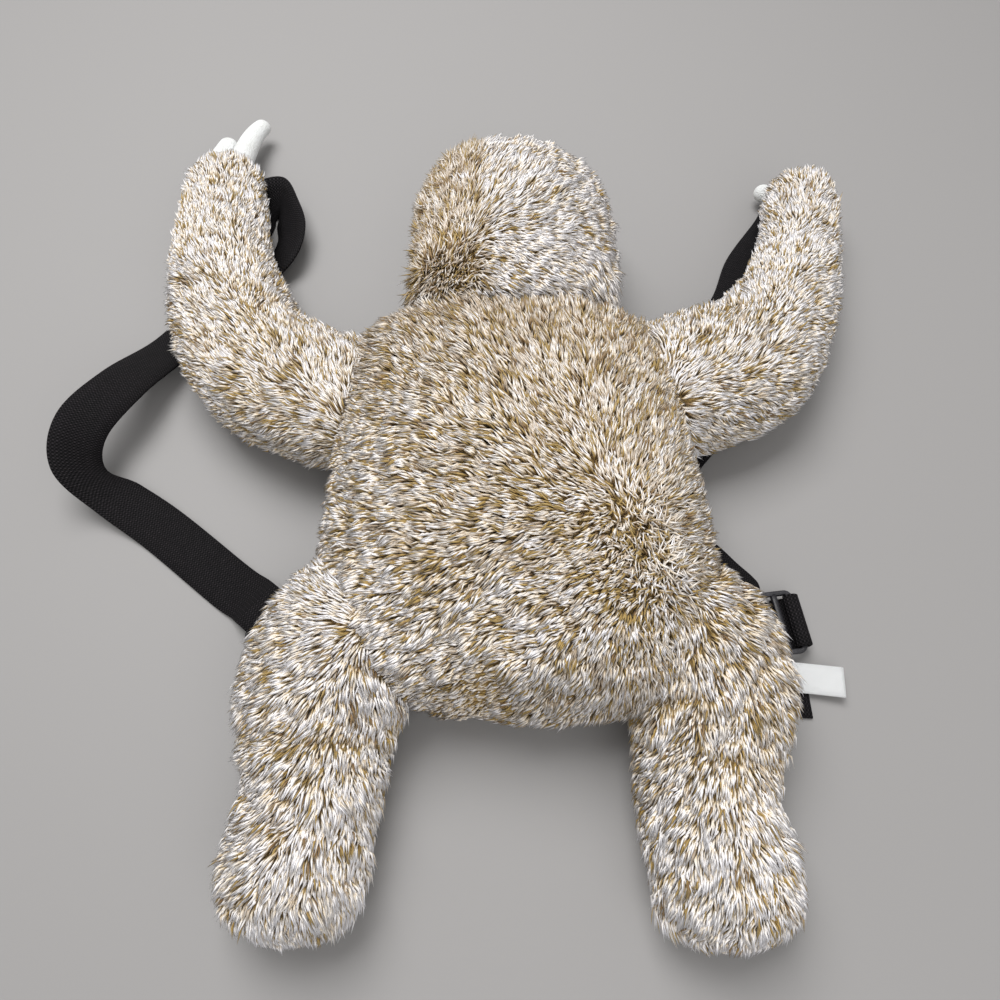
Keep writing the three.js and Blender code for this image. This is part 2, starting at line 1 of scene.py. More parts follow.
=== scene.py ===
"""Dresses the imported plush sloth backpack: skins, fur, webbing, sliders, claws and label, on a plain stage.

Lengths in the tables are millimetres in the drawing's own frame, with x from the spine and y from the
tail edge of the torso towards the head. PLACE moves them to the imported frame, and meshes are in metres.
"""

import json
import logging
import math
from dataclasses import dataclass
from enum import Enum, IntEnum

import bpy
import numpy as np
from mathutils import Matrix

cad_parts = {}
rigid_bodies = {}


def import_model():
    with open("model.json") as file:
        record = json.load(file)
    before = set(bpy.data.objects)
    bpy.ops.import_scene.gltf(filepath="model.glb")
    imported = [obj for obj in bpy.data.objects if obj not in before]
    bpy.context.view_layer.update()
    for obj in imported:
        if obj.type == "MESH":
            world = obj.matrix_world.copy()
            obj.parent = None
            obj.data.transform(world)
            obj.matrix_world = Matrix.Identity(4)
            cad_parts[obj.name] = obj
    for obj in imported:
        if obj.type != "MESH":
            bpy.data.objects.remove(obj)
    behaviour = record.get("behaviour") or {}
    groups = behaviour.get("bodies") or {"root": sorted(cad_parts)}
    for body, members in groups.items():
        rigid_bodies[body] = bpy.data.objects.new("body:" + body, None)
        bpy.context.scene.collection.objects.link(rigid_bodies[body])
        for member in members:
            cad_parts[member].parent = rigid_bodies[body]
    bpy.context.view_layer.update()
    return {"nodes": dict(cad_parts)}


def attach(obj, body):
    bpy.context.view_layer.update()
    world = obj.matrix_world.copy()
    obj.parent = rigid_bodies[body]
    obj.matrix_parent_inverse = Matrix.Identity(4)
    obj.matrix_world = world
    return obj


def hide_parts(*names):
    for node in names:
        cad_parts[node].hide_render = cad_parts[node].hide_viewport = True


LOG = logging.getLogger("sloth_backpack")

MM = 0.001
PLACE = np.array([15.911, -155.502, 0.0])
BODY = "root"

# Chance: the seed of the first furred piece, and the step to the next piece's seed.
SEED = 533
SEED_STEP = 10

# Room round what is cut out of a skin, and least height of a band over the floor.
GAP = 0.4
FLOOR_CLEAR = 0.2

# Height of a form's widest line as a share of its section, and offset of a skin from the tips of its fur.
WIDEST = 0.45
BACKING = -4.0

# Fineness of the forms: samples of a middle line, marks that places are measured against, rings round an
# end cap for each ring that its length would take, and the small step that gives a slope.
LINE_SAMPLES = 900
LINE_MARKS = 160
CAP_RINGS = 1.6
SLOPE_STEP = 0.01

# Grid that roots are scattered over: distance between its rings, and points in each ring.
SCATTER_SPACING = 4.0
SCATTER_TURNS = 121

# Distance between rings of the skins, and points in a ring of each kind of skin.
SKIN_SPACING = 3.5
TORSO_COLUMNS = 96
HEAD_COLUMNS = 72
LIMB_COLUMNS = 48

# Distance between rings and points in a ring, for the claws and for the room they need.
CLAW_MESH = (1.5, 28)
CLAW_ROOM_MESH = (2.5, 24)

# Smooth noise: number of waves, range of their pace against the usual one, and gain.
NOISE_WAVES = 8
NOISE_PACE = (0.7, 1.4)
NOISE_GAIN = 4.0

# Turns round a slider's bar, in degrees: over it, under it, and under it from the other side.
OVER = 90.0
UNDER = -90.0
UNDER_AGAIN = 270.0

# Points in a turn round a bar, in a corner of a slider's frame, along its middle bar and round its section.
WRAP_ROWS = 7
CORNER_POINTS = 9
BAR_POINTS = 9
BEAM_COLUMNS = 12

# Sockets of the Mix node that take and give colours.
MIX_INPUTS = (6, 7)
MIX_OUTPUT = 2

Row = tuple[float, ...]
Range = tuple[float, float]
Colour = tuple[int, int, int]
Weights = dict[str, float]


class Slot(Enum):
    """Material slots of the record."""

    PLUSH = "plush"
    FELT = "felt"
    WEBBING = "webbing"
    SLIDER = "slider"
    LABEL = "label"


class UvName(Enum):
    """Names of the UV maps that finishes read."""

    STRAND = "OFBake"
    WEAVE = "Weave"


class Wave(IntEnum):
    """What each smooth noise of the fur bends, as a step from the piece's own seed."""

    TURN = 1
    LIFT = 3
    CURL = 4
    LOCK = 6


def linear(colour: Colour) -> tuple[float, float, float, float]:
    """Turns a colour of 0 to 255 a channel into scene-linear values, by the usual curve of screens.

    Args:
        colour: Red, green and blue as they show on a screen.

    Returns:
        Linear red, green, blue and an alpha of 1.
    """
    share = np.array(colour) / 255.0
    low = share / 12.92
    high = ((share + 0.055) / 1.055) ** 2.4
    value = np.where(share <= 0.04045, low, high)
    return (float(value[0]), float(value[1]), float(value[2]), 1.0)


def unit(vectors: np.ndarray) -> np.ndarray:
    """Scales each vector in an array to length 1."""
    return vectors / np.maximum(np.linalg.norm(vectors, axis=-1, keepdims=True), 1e-12)


def smoothstep(low: float, high: float, value: np.ndarray) -> np.ndarray:
    """Rises smoothly from 0 at low to 1 at high."""
    share = np.clip((value - low) / (high - low), 0.0, 1.0)
    return share * share * (3.0 - 2.0 * share)


def catmull_rom(rows: np.ndarray, samples: int) -> np.ndarray:
    """Smooth curve through the rows of a table.

    Between two rows it is the cubic whose slope at each row is half the step between its neighbours;
    past the ends the table is mirrored through its end rows.

    Args:
        rows: Table of n rows.
        samples: Number of points along the curve, spread evenly over the rows.

    Returns:
        One row for each sample.
    """
    padded = np.vstack([2 * rows[0] - rows[1], rows, 2 * rows[-1] - rows[-2]])
    place = np.linspace(0, len(rows) - 1, samples)
    piece = np.minimum(place.astype(int), len(rows) - 2)
    t = (place - piece)[:, None]
    before, start, end, after = (padded[piece + k] for k in range(4))
    slope_start = 0.5 * (end - before)
    slope_end = 0.5 * (after - start)
    return (
        (2 * t**3 - 3 * t**2 + 1) * start
        + (t**3 - 2 * t**2 + t) * slope_start
        + (3 * t**2 - 2 * t**3) * end
        + (t**3 - t**2) * slope_end
    )


def smooth_noise(points: np.ndarray, wavelength: float, seed: int) -> np.ndarray:
    """Smooth random field: the mean of sine waves of about one wavelength in random directions.

    Args:
        points: Places, n by 3.
        wavelength: Usual distance from crest to crest.
        seed: Seed of the waves' directions and phases.

    Returns:
        One value for each point, with a spread of about 1.
    """
    rng = np.random.default_rng(seed)
    directions = unit(rng.normal(size=(3, NOISE_WAVES)).T).T
    waves = directions * (2 * math.pi / wavelength) * rng.uniform(*NOISE_PACE, NOISE_WAVES)
    phases = rng.uniform(0, 2 * math.pi, NOISE_WAVES)
    return np.sin(points @ waves + phases).mean(axis=1) * NOISE_GAIN


def grid_triangles(rows: int, columns: int) -> np.ndarray:
    """Triangles of a grid whose columns close on themselves.

    Args:
        rows: Number of rings.
        columns: Points in each ring.

    Returns:
        Vertex indices, two triangles for each cell.
    """
    i, j = np.meshgrid(np.arange(rows - 1), np.arange(columns), indexing="ij")
    a = i * columns + j
    b = i * columns + (j + 1) % columns
    c = b + columns
    d = a + columns
    halves = [np.stack(corners, axis=-1).reshape(-1, 3) for corners in ((a, b, c), (a, c, d))]
    return np.concatenate(halves)


def fan_triangles(ring: np.ndarray, pole: int) -> np.ndarray:
    """Triangles from each edge of a closed ring to one pole."""
    return np.stack([ring, np.roll(ring, -1), np.full_like(ring, pole)], axis=-1)


def tube_triangles(rows: int, columns: int) -> np.ndarray:
    """Triangles of a closed tube: a grid of rings, and at each end a fan to a pole.

    Args:
        rows: Number of rings.
        columns: Points in each ring.

    Returns:
        Vertex indices, with the poles of the start and the end numbered after the rings.
    """
    ring = np.arange(columns)
    start = fan_triangles(ring[::-1], rows * columns)
    end = fan_triangles(ring + (rows - 1) * columns, rows * columns + 1)
    return np.concatenate([grid_triangles(rows, columns), start, end])


def lengths_along(points: np.ndarray) -> np.ndarray:
    """Distance of each point of a path from its first point, along the path."""
    steps = np.linalg.norm(np.diff(points, axis=0), axis=1)
    return np.concatenate([[0.0], np.cumsum(steps)])


def make_object(name: str, points: np.ndarray, triangles: np.ndarray) -> bpy.types.Object:
    """Makes a smooth-shaded mesh object from arrays.

    Args:
        name: Name of the object and its mesh.
        points: Vertices in millimetres in the drawing's frame.
        triangles: Vertex indices, outward side counter-clockwise.

    Returns:
        The object, at the origin, with its place in its mesh.
    """
    mesh = bpy.data.meshes.new(name)
    mesh.vertices.add(len(points))
    mesh.vertices.foreach_set("co", ((points + PLACE) * MM).astype(np.float32).ravel())
    mesh.loops.add(3 * len(triangles))
    mesh.loops.foreach_set("vertex_index", triangles.astype(np.int32).ravel())
    mesh.polygons.add(len(triangles))
    mesh.polygons.foreach_set("loop_start", np.arange(0, 3 * len(triangles), 3, dtype=np.int32))
    mesh.polygons.foreach_set("use_smooth", np.ones(len(triangles), bool))
    mesh.update(calc_edges=True)
    mesh.validate()
    made = bpy.data.objects.new(name, mesh)
    bpy.context.scene.collection.objects.link(made)
    return made


def set_uv(piece: bpy.types.Object, name: UvName, corners: np.ndarray) -> None:
    """Writes one UV pair for each face corner of a piece."""
    layer = piece.data.uv_layers.new(name=name.value)
    layer.data.foreach_set("uv", corners.astype(np.float32).ravel())


def carve(piece: bpy.types.Object, cutters: list[bpy.types.Object]) -> None:
    """Subtracts the cutters from a piece for good, and leaves the cutters as they are.

    Args:
        piece: Closed mesh that is cut.
        cutters: Closed meshes that are taken away from it.
    """
    for cutter in cutters:
        step = piece.modifiers.new("cut", "BOOLEAN")
        step.operation = "DIFFERENCE"
        step.solver = "MANIFOLD"
        step.object = cutter
    shown = piece.evaluated_get(bpy.context.evaluated_depsgraph_get())
    cut = bpy.data.meshes.new_from_object(shown)
    piece.modifiers.clear()
    old = piece.data
    piece.data = cut
    cut.name = piece.name
    bpy.data.meshes.remove(old)


def dress(piece: bpy.types.Object, material: bpy.types.Material, slot: Slot, *nodes: str) -> None:
    """Gives a piece its finish and its place in the frame.

    Args:
        piece: New piece.
        material: Its material.
        slot: Slot of the record for its finish; not used.
        nodes: CAD nodes that it stands for.
    """
    piece.data.materials.clear()
    piece.data.materials.append(material)
    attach(piece, BODY)
    if nodes:
        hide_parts(*nodes)
    LOG.info("%s: %d faces", piece.name, len(piece.data.polygons))


class Nodes:
    """A material's node tree with short calls to add nodes and link them."""

    def __init__(self, name: str) -> None:
        """Makes an empty material with a Principled shader.

        Args:
            name: Name of the material.
        """
        self.material = bpy.data.materials.new(name)
        self.material.use_nodes = True
        self.tree = self.material.node_tree
        self.shader = self.tree.nodes["Principled BSDF"]

    def add(self, kind: str, **settings: object) -> bpy.types.Node:
        """Adds a node.

        Args:
            kind: Blender's name of the node's type.
            settings: Plain properties of the node.

        Returns:
            The node.
        """
        node = self.tree.nodes.new(kind)
        for key, value in settings.items():
            setattr(node, key, value)
        return node

    def link(self, source: bpy.types.NodeSocket, target: bpy.types.NodeSocket) -> None:
        """Joins an output to an input."""
        self.tree.links.new(source, target)

    def feed(self, value: object, socket: bpy.types.NodeSocket) -> None:
        """Feeds an input.

        Args:
            value: An output to link, or a constant to set.
            socket: The input.
        """
        if isinstance(value, bpy.types.NodeSocket):
            self.link(value, socket)
        else:
            socket.default_value = value

    def math(self, operation: str, first: object, second: object = 0.0) -> bpy.types.NodeSocket:
        """Adds a Math node.

        Args:
            operation: Blender's name of the operation.
            first: First input, a socket or a number.
            second: Second input, a socket or a number.

        Returns:
            The node's output.
        """
        node = self.add("ShaderNodeMath", operation=operation)
        self.feed(first, node.inputs[0])
        self.feed(second, node.inputs[1])
        return node.outputs[0]

    def mix(self, factor: bpy.types.NodeSocket, first: object, second: object) -> bpy.types.NodeSocket:
        """Mixes two colours.

        Args:
            factor: Share of the second colour.
            first: A socket or a screen colour.
            second: A socket or a screen colour.

        Returns:
            The mixed colour.
        """
        node = self.add("ShaderNodeMix", data_type="RGBA")
        self.link(factor, node.inputs[0])
        for colour, k in zip((first, second), MIX_INPUTS):
            self.feed(linear(colour) if isinstance(colour, tuple) else colour, node.inputs[k])
        return node.outputs[MIX_OUTPUT]

    def rise(self, value: bpy.types.NodeSocket, low: float, high: float) -> bpy.types.NodeSocket:
        """Maps a value to a smooth rise.

        Args:
            value: Value that is mapped.
            low: Value where the rise is still 0.
            high: Value where it reaches 1.

        Returns:
            The rise.
        """
        node = self.add("ShaderNodeMapRange", interpolation_type="SMOOTHSTEP")
        self.link(value, node.inputs[0])
        node.inputs[1].default_value = low
        node.inputs[2].default_value = high
        return node.outputs[0]

    def steps(self, value: bpy.types.NodeSocket, colours: list[Colour]) -> bpy.types.NodeSocket:
        """Picks one of several colours by a value, in equal steps.

        Args:
            value: Value from 0 to 1.
            colours: Screen colours in order.

        Returns:
            The picked colour.
        """
        node = self.add("ShaderNodeValToRGB")
        ramp = node.color_ramp
        ramp.interpolation = "CONSTANT"
        ramp.elements[0].color = linear(colours[0])
        ramp.elements[1].position = 1 / len(colours)
        ramp.elements[1].color = linear(colours[1])
        for k, colour in enumerate(colours[2:], start=2):
            ramp.elements.new(k / len(colours)).color = linear(colour)
        self.link(value, node.inputs[0])
        return node.outputs[0]

    def noise(self, scale: float, detail: float = 3.0) -> bpy.types.NodeSocket:
        """Noise in Object coordinates.

        Args:
            scale: Waves to the metre.
            detail: Octaves of finer noise.

        Returns:
            Values from 0 to 1.
        """
        coordinates = self.add("ShaderNodeTexCoord")
        node = self.add("ShaderNodeTexNoise")
        node.inputs["Scale"].default_value = scale
        node.inputs["Detail"].default_value = detail
        self.link(coordinates.outputs["Object"], node.inputs["Vector"])
        return node.outputs["Fac"]

    def height(self) -> bpy.types.NodeSocket:
        """Height over the floor in metres."""
        return self.split(self.add("ShaderNodeTexCoord").outputs["Object"])[2]

    def split(self, vector: bpy.types.NodeSocket) -> bpy.types.NodeOutputs:
        """Splits a vector.

        Args:
            vector: Output that gives the vector.

        Returns:
            Its three coordinates.
        """
        node = self.add("ShaderNodeSeparateXYZ")
        self.link(vector, node.inputs[0])
        return node.outputs

    def uv(self, name: UvName) -> tuple[bpy.types.NodeSocket, bpy.types.NodeSocket]:
        """The two coordinates of one of the piece's UV maps."""
        both = self.split(self.add("ShaderNodeUVMap", uv_map=name.value).outputs[0])
        return both[0], both[1]

    def colour(self, value: bpy.types.NodeSocket) -> None:
        """Feeds the shader's base colour."""
        self.link(value, self.shader.inputs["Base Color"])

    def bump(self, height: bpy.types.NodeSocket, depth: float) -> None:
        """Raises the surface.

        Args:
            height: Height as a share of the depth.
            depth: Full height in metres.
        """
        node = self.add("ShaderNodeBump")
        node.inputs["Strength"].default_value = 1.0
        node.inputs["Distance"].default_value = depth
        self.link(height, node.inputs["Height"])
        self.link(node.outputs[0], self.shader.inputs["Normal"])

    def set(self, **values: float) -> None:
        """Sets plain numbers on the shader, its sockets named with underscores for spaces."""
        for key, value in values.items():
            self.shader.inputs[key.replace("_", " ")].default_value = value


@dataclass(frozen=True)
class Tone:
    """One colour of strand: how common it is, and its colours from tip to root."""

    share: float
    tip: Colour
    body: Colour
    root: Colour


@dataclass(frozen=True)
class FurFinish:
    """Tipped fur: light tips over ochre and brown roots, one UV column for each tone."""

    tones: tuple[Tone, ...] = (
        Tone(0.27, (242, 240, 243), (235, 229, 223), (214, 189, 134)),
        Tone(0.19, (240, 235, 231), (228, 215, 195), (198, 168, 104)),
        Tone(0.13, (173, 147, 90), (154, 126, 66), (138, 110, 52)),
        Tone(0.15, (236, 229, 221), (215, 200, 176), (170, 140, 82)),
        Tone(0.11, (216, 204, 190), (188, 169, 141), (142, 115, 67)),
        Tone(0.05, (160, 136, 84), (141, 114, 60), (126, 100, 48)),
        Tone(0.06, (190, 175, 157), (150, 131, 106), (118, 93, 60)),
        Tone(0.04, (148, 122, 84), (116, 88, 50), (92, 68, 36)),
    )
    root_blend: Range = (0.3, 0.54)
    tip_blend: Range = (0.48, 0.76)

    def material(self) -> bpy.types.Material:
        """Builds the material: the column picks the tone, and the height along a strand its colour.

        Returns:
            The material.
        """
        nodes = Nodes("tipped_fur")
        across, along = nodes.uv(UvName.STRAND)
        tip = nodes.steps(across, [tone.tip for tone in self.tones])
        body = nodes.steps(across, [tone.body for tone in self.tones])
        root = nodes.steps(across, [tone.root for tone in self.tones])
        lower = nodes.mix(nodes.rise(along, *self.root_blend), root, body)
        nodes.colour(nodes.mix(nodes.rise(along, *self.tip_blend), lower, tip))
        nodes.set(Roughness=0.7, Sheen_Weight=0.1, Sheen_Roughness=0.5)
        return nodes.material

    def pick(self, value: np.ndarray) -> np.ndarray:
        """Index of the tone for each value from 0 to 1, by the tones' shares."""
        edges = np.cumsum([tone.share for tone in self.tones])
        return np.minimum(np.searchsorted(edges, value), len(self.tones) - 1)


@dataclass(frozen=True)
class SkinFinish:
    """Knitted backing and fur roots that show between the strands."""

    dark: Colour = (140, 114, 66)
    light: Colour = (182, 150, 92)
    under: Colour = (194, 180, 160)
    under_height: float = 0.03
    patches: float = 220.0
    patch_edge: Range = (0.35, 0.65)
    knit: float = 900.0
    knit_depth: float = 0.0008

    def material(self) -> bpy.types.Material:
        """Builds the material: two browns in patches over a fine knit, paler towards the floor.

        Returns:
            The material.
        """
        nodes = Nodes("fur_backing")
        patch = nodes.rise(nodes.noise(self.patches), *self.patch_edge)
        height = nodes.rise(nodes.height(), 0.0, self.under_height)
        nodes.colour(nodes.mix(height, self.under, nodes.mix(patch, self.dark, self.light)))
        nodes.bump(nodes.noise(self.knit), self.knit_depth)
        nodes.set(Roughness=0.9)
        return nodes.material


ZIP_FINISH = SkinFinish(dark=(52, 42, 32), light=(82, 66, 48))


@dataclass(frozen=True)
class FeltFinish:
    """White felt of the claws, with short fibres."""

    light: Colour = (244, 246, 246)
    dark: Colour = (222, 222, 218)
    fibres: Range = (1400.0, 6.0)
    fibre_edge: Range = (0.3, 0.7)
    fibre_depth: float = 0.0004
    patches: float = 90.0
    patch_edge: Range = (0.35, 0.75)
    least_patch: float = 0.4

    def material(self) -> bpy.types.Material:
        """Builds the material: fine fibre noise over slow grey patches.

        Returns:
            The material.
        """
        nodes = Nodes("claw_felt")
        fibre = nodes.rise(nodes.noise(*self.fibres), *self.fibre_edge)
        patch = nodes.rise(nodes.noise(self.patches), *self.patch_edge)
        mottled = nodes.math("MULTIPLY", fibre, nodes.math("ADD", patch, self.least_patch))
        nodes.colour(nodes.mix(mottled, self.light, self.dark))
        nodes.bump(fibre, self.fibre_depth)
        nodes.set(Roughness=0.92, Sheen_Weight=0.25)
        return nodes.material


@dataclass(frozen=True)
class WebbingFinish:
    """Dark polypropylene webbing in a plain ribbed weave."""

    name: str = "webbing_weave"
    dark: Colour = (6, 6, 7)
    light: Colour = (66, 61, 64)
    rib: float = 1.5
    yarn: float = 1.9
    weave_height: float = 0.35
    rib_height: float = 0.15
    depth: float = 0.0005
    # Weave heights over which the raised yarns turn to the light colour: a painted sheen on the crowns.
    raised_yarn_edge: Range = (-0.2, 0.6)
    fibres: Range = (700.0, 5.0)

    def material(self) -> bpy.types.Material:
        """Builds the material: waves along and across the band, multiplied to give over-and-under squares.

        Returns:
            The material.
        """
        nodes = Nodes(self.name)
        along, across = nodes.uv(UvName.WEAVE)
        ribs = nodes.math("SINE", nodes.math("MULTIPLY", along, 2 * math.pi / (self.rib * MM)))
        yarns = nodes.math("SINE", nodes.math("MULTIPLY", across, 2 * math.pi / (self.yarn * MM)))
        weave = nodes.math("MULTIPLY", nodes.math("MULTIPLY", ribs, yarns), self.weave_height)
        height = nodes.math("ADD", weave, nodes.math("MULTIPLY", ribs, self.rib_height))
        # The crowns of the yarns take the light colour, broken up by fine fibre noise: a painted sheen on the
        # dark webbing. On the white label tape the crowns come out a little greyer.
        worn = nodes.math("MULTIPLY", nodes.rise(height, *self.raised_yarn_edge), nodes.noise(*self.fibres))
        nodes.colour(nodes.mix(worn, self.dark, self.light))
        nodes.bump(height, self.depth)
        nodes.set(Roughness=0.75, Specular_IOR_Level=0.12)
        return nodes.material


LABEL_FINISH = WebbingFinish("label_tape", dark=(252, 253, 253), light=(240, 244, 246), rib=0.5, yarn=0.5)


@dataclass(frozen=True)
class PlasticFinish:
    """Moulded dark plastic of the sliders."""

    dark: Colour = (30, 29, 33)
    light: Colour = (56, 55, 60)
    patches: float = 160.0
    patch_edge: Range = (0.45, 0.8)
    grain: Range = (2500.0, 2.0)
    grain_depth: float = 0.00012

    def material(self) -> bpy.types.Material:
        """Builds the material: a fine moulded grain with worn patches.

        Returns:
            The material.
        """
        nodes = Nodes("slider_plastic")
        worn = nodes.rise(nodes.noise(self.patches), *self.patch_edge)
        nodes.colour(nodes.mix(worn, self.dark, self.light))
        nodes.bump(nodes.noise(*self.grain), self.grain_depth)
        nodes.set(Roughness=0.42)
        return nodes.material


@dataclass
class Station:
    """A form's middle line and sizes at some distances: arrays of one length."""

    middle: np.ndarray
    heading: np.ndarray
    half: np.ndarray
    top: np.ndarray
    base: np.ndarray

    def height(self) -> np.ndarray:
        """Height of the widest line."""
        return self.base + WIDEST * (self.top - self.base)


@dataclass
class Form:
    """A stuffed form along a middle line: rows of x, y, half width, top and underside to the fur's tips.

    Attributes:
        rows: The table.
        start_cap: Length of the rounded start.
        end_cap: Length of the rounded end.
        pressed: How far the round underside is cut flat.
    """

    rows: tuple[Row, ...]
    start_cap: float
    end_cap: float
    pressed: float = 4.0

    def __post_init__(self) -> None:
        """Works out the smooth columns against the distance along the middle line."""
        self.curve = catmull_rom(np.array(self.rows, float), LINE_SAMPLES)
        self.distances = lengths_along(self.curve[:, :2])
        self.length = float(self.distances[-1])
        self.headings = unit(np.gradient(self.curve[:, :2], self.distances, axis=0))

    def at(self, distance: np.ndarray) -> Station:
        """Reads the middle line and sizes, run straight on past both ends.

        Args:
            distance: Distances along the middle line.

        Returns:
            The station at each distance.
        """
        inside = np.clip(distance, 0.0, self.length)
        columns = [np.interp(inside, self.distances, column) for column in self.curve.T]
        heading = [np.interp(inside, self.distances, column) for column in self.headings.T]
        heading = unit(np.stack(heading, axis=-1))
        middle = np.stack(columns[:2], axis=-1) + heading * (distance - inside)[..., None]
        return Station(middle, heading, columns[2], columns[3], np.maximum(columns[4], 0.0))

    def fullness(self, distance: np.ndarray, grow: float) -> np.ndarray:
        """Share of the full section: a quarter circle over each end cap and 1 between them.

        Args:
            distance: Distances along the middle line.
            grow: Offset of the surface.

        Returns:
            The share at each distance.
        """
        from_start = (distance + grow) / (self.start_cap + grow)
        from_end = (self.length + grow - distance) / (self.end_cap + grow)
        nearest = np.clip(np.minimum(from_start, from_end), 0.0, 1.0)
        return np.sqrt(1.0 - (1.0 - nearest) ** 2)

    def surface(self, distance: np.ndarray, turn: np.ndarray, grow: float, grow_under: float) -> np.ndarray:
        """Points of the form's surface.

        The section is two half ellipses joined at the widest line, with the lower one cut flat at the
        underside: sideways it is the half width times the cosine of the turn, and up or down the height
        above or below the widest line times the sine, both times the fullness.

        Args:
            distance: Distance along the middle line.
            turn: Turn round it, from the left side over the top.
            grow: Offset of the sides and top.
            grow_under: Offset of the underside.

        Returns:
            Points in millimetres.
        """
        station = self.at(distance)
        full = self.fullness(distance, grow)
        middle = station.height()
        up = station.top + grow - middle
        down = middle - station.base + self.pressed + grow_under
        lift = np.where(np.sin(turn) > 0, up, down) * full * np.sin(turn)
        side = (station.half + grow) * full * np.cos(turn)
        x = station.middle[..., 0] - station.heading[..., 1] * side
        y = station.middle[..., 1] + station.heading[..., 0] * side
        return np.stack([x, y, np.maximum(middle + lift, station.base - grow_under)], axis=-1)

    def rings(self, grow: float, spacing: float) -> np.ndarray:
        """Distances of the rings, evenly spaced round the end caps and along the straight between them.

        Args:
            grow: Offset of the surface.
            spacing: Distance between rings.

        Returns:
            Distances along the middle line, in order.
        """
        caps = (self.start_cap + grow, self.end_cap + grow)
        counts = [1 + max(3, round(cap * CAP_RINGS / spacing)) for cap in caps]
        start_turn, end_turn = (np.linspace(0, math.pi / 2, count) for count in counts)
        straight = np.linspace(self.start_cap, self.length - self.end_cap, 2 + round(self.length / spacing))
        start = -grow + caps[0] * (1 - np.cos(start_turn))
        end = self.length - self.end_cap + caps[1] * np.sin(end_turn)
        return np.concatenate([start, straight[1:-1], end])

    def shell(
        self, grow: float, grow_under: float, spacing: float, columns: int
    ) -> tuple[np.ndarray, np.ndarray]:
        """Closed surface of the form.

        Args:
            grow: Offset of the sides and top.
            grow_under: Offset of the underside.
            spacing: Distance between rings.
            columns: Points in each ring.

        Returns:
            Points and triangles.
        """
        rings = self.rings(grow, spacing)
        turns = np.linspace(0, 2 * math.pi, columns, endpoint=False)
        distance, turn = np.meshgrid(rings, turns, indexing="ij")
        inner = self.surface(distance[1:-1], turn[1:-1], grow, grow_under).reshape(-1, 3)
        poles = self.surface(distance[[0, -1], 0], turn[[0, -1], 0], grow, grow_under)
        return np.concatenate([inner, poles]), tube_triangles(len(rings) - 2, columns)

    def inside(self, points: np.ndarray, grow: float) -> np.ndarray:
        """Whether points lie inside the form grown by an offset.

        Args:
            points: Places, n by 3.
            grow: Offset of the sides and top.

        Returns:
            One flag for each point.
        """
        distance, side = self.measure(points)
        station = self.at(distance)
        full = np.maximum(self.fullness(distance, grow), 1e-3)
        middle = station.height()
        rise = points[:, 2] - middle
        reach = np.where(rise > 0, station.top + grow - middle, middle - station.base + self.pressed)
        return (side / (station.half + grow)) ** 2 + (rise / reach) ** 2 < full**2

    def measure(self, points: np.ndarray) -> tuple[np.ndarray, np.ndarray]:
        """Measures points against the nearest of many marks along the middle line.

        Args:
            points: Places, n by 3.

        Returns:
            Distance along the middle line and signed distance to its left, for each point.
        """
        marks = np.linspace(-self.start_cap, self.length + self.end_cap, LINE_MARKS)
        stations = self.at(marks)
        offset = points[:, None, :2] - stations.middle[None]
        nearest = np.argmin((offset**2).sum(axis=-1), axis=1)
        offset = offset[np.arange(len(points)), nearest]
        heading = stations.heading[nearest]
        side = heading[:, 0] * offset[:, 1] - heading[:, 1] * offset[:, 0]
        return marks[nearest] + (offset * heading).sum(axis=-1), side

    def scatter(self, count: int, grow: float, rng: np.random.Generator) -> tuple[np.ndarray, np.ndarray]:
        """Random places spread over the surface by area.

        Args:
            count: Number of places.
            grow: Offset of the surface.
            rng: Source of chance.

        Returns:
            Points and outward normals.
        """
        rings = self.rings(grow, SCATTER_SPACING)
        turns = np.linspace(0, 2 * math.pi, SCATTER_TURNS)
        distance, turn = np.meshgrid(rings, turns, indexing="ij")
        grid = self.surface(distance, turn, grow, 0.0)
        across = np.cross(grid[1:, 1:] - grid[:-1, :-1], grid[1:, :-1] - grid[:-1, 1:])
        area = np.linalg.norm(across, axis=-1)
        cell = rng.choice(area.size, count, p=area.ravel() / area.sum())
        i, j = np.divmod(cell, area.shape[1])
        along = rings[i] + (rings[i + 1] - rings[i]) * rng.random(count)
        around = turns[j] + (turns[j + 1] - turns[j]) * rng.random(count)
        step = np.array([SLOPE_STEP, -SLOPE_STEP])[:, None]
        ahead = np.subtract(*self.surface(along + step, around, grow, 0.0))
        over = np.subtract(*self.surface(along, around + step, grow, 0.0))
        return self.surface(along, around, grow, 0.0), unit(np.cross(over, ahead))


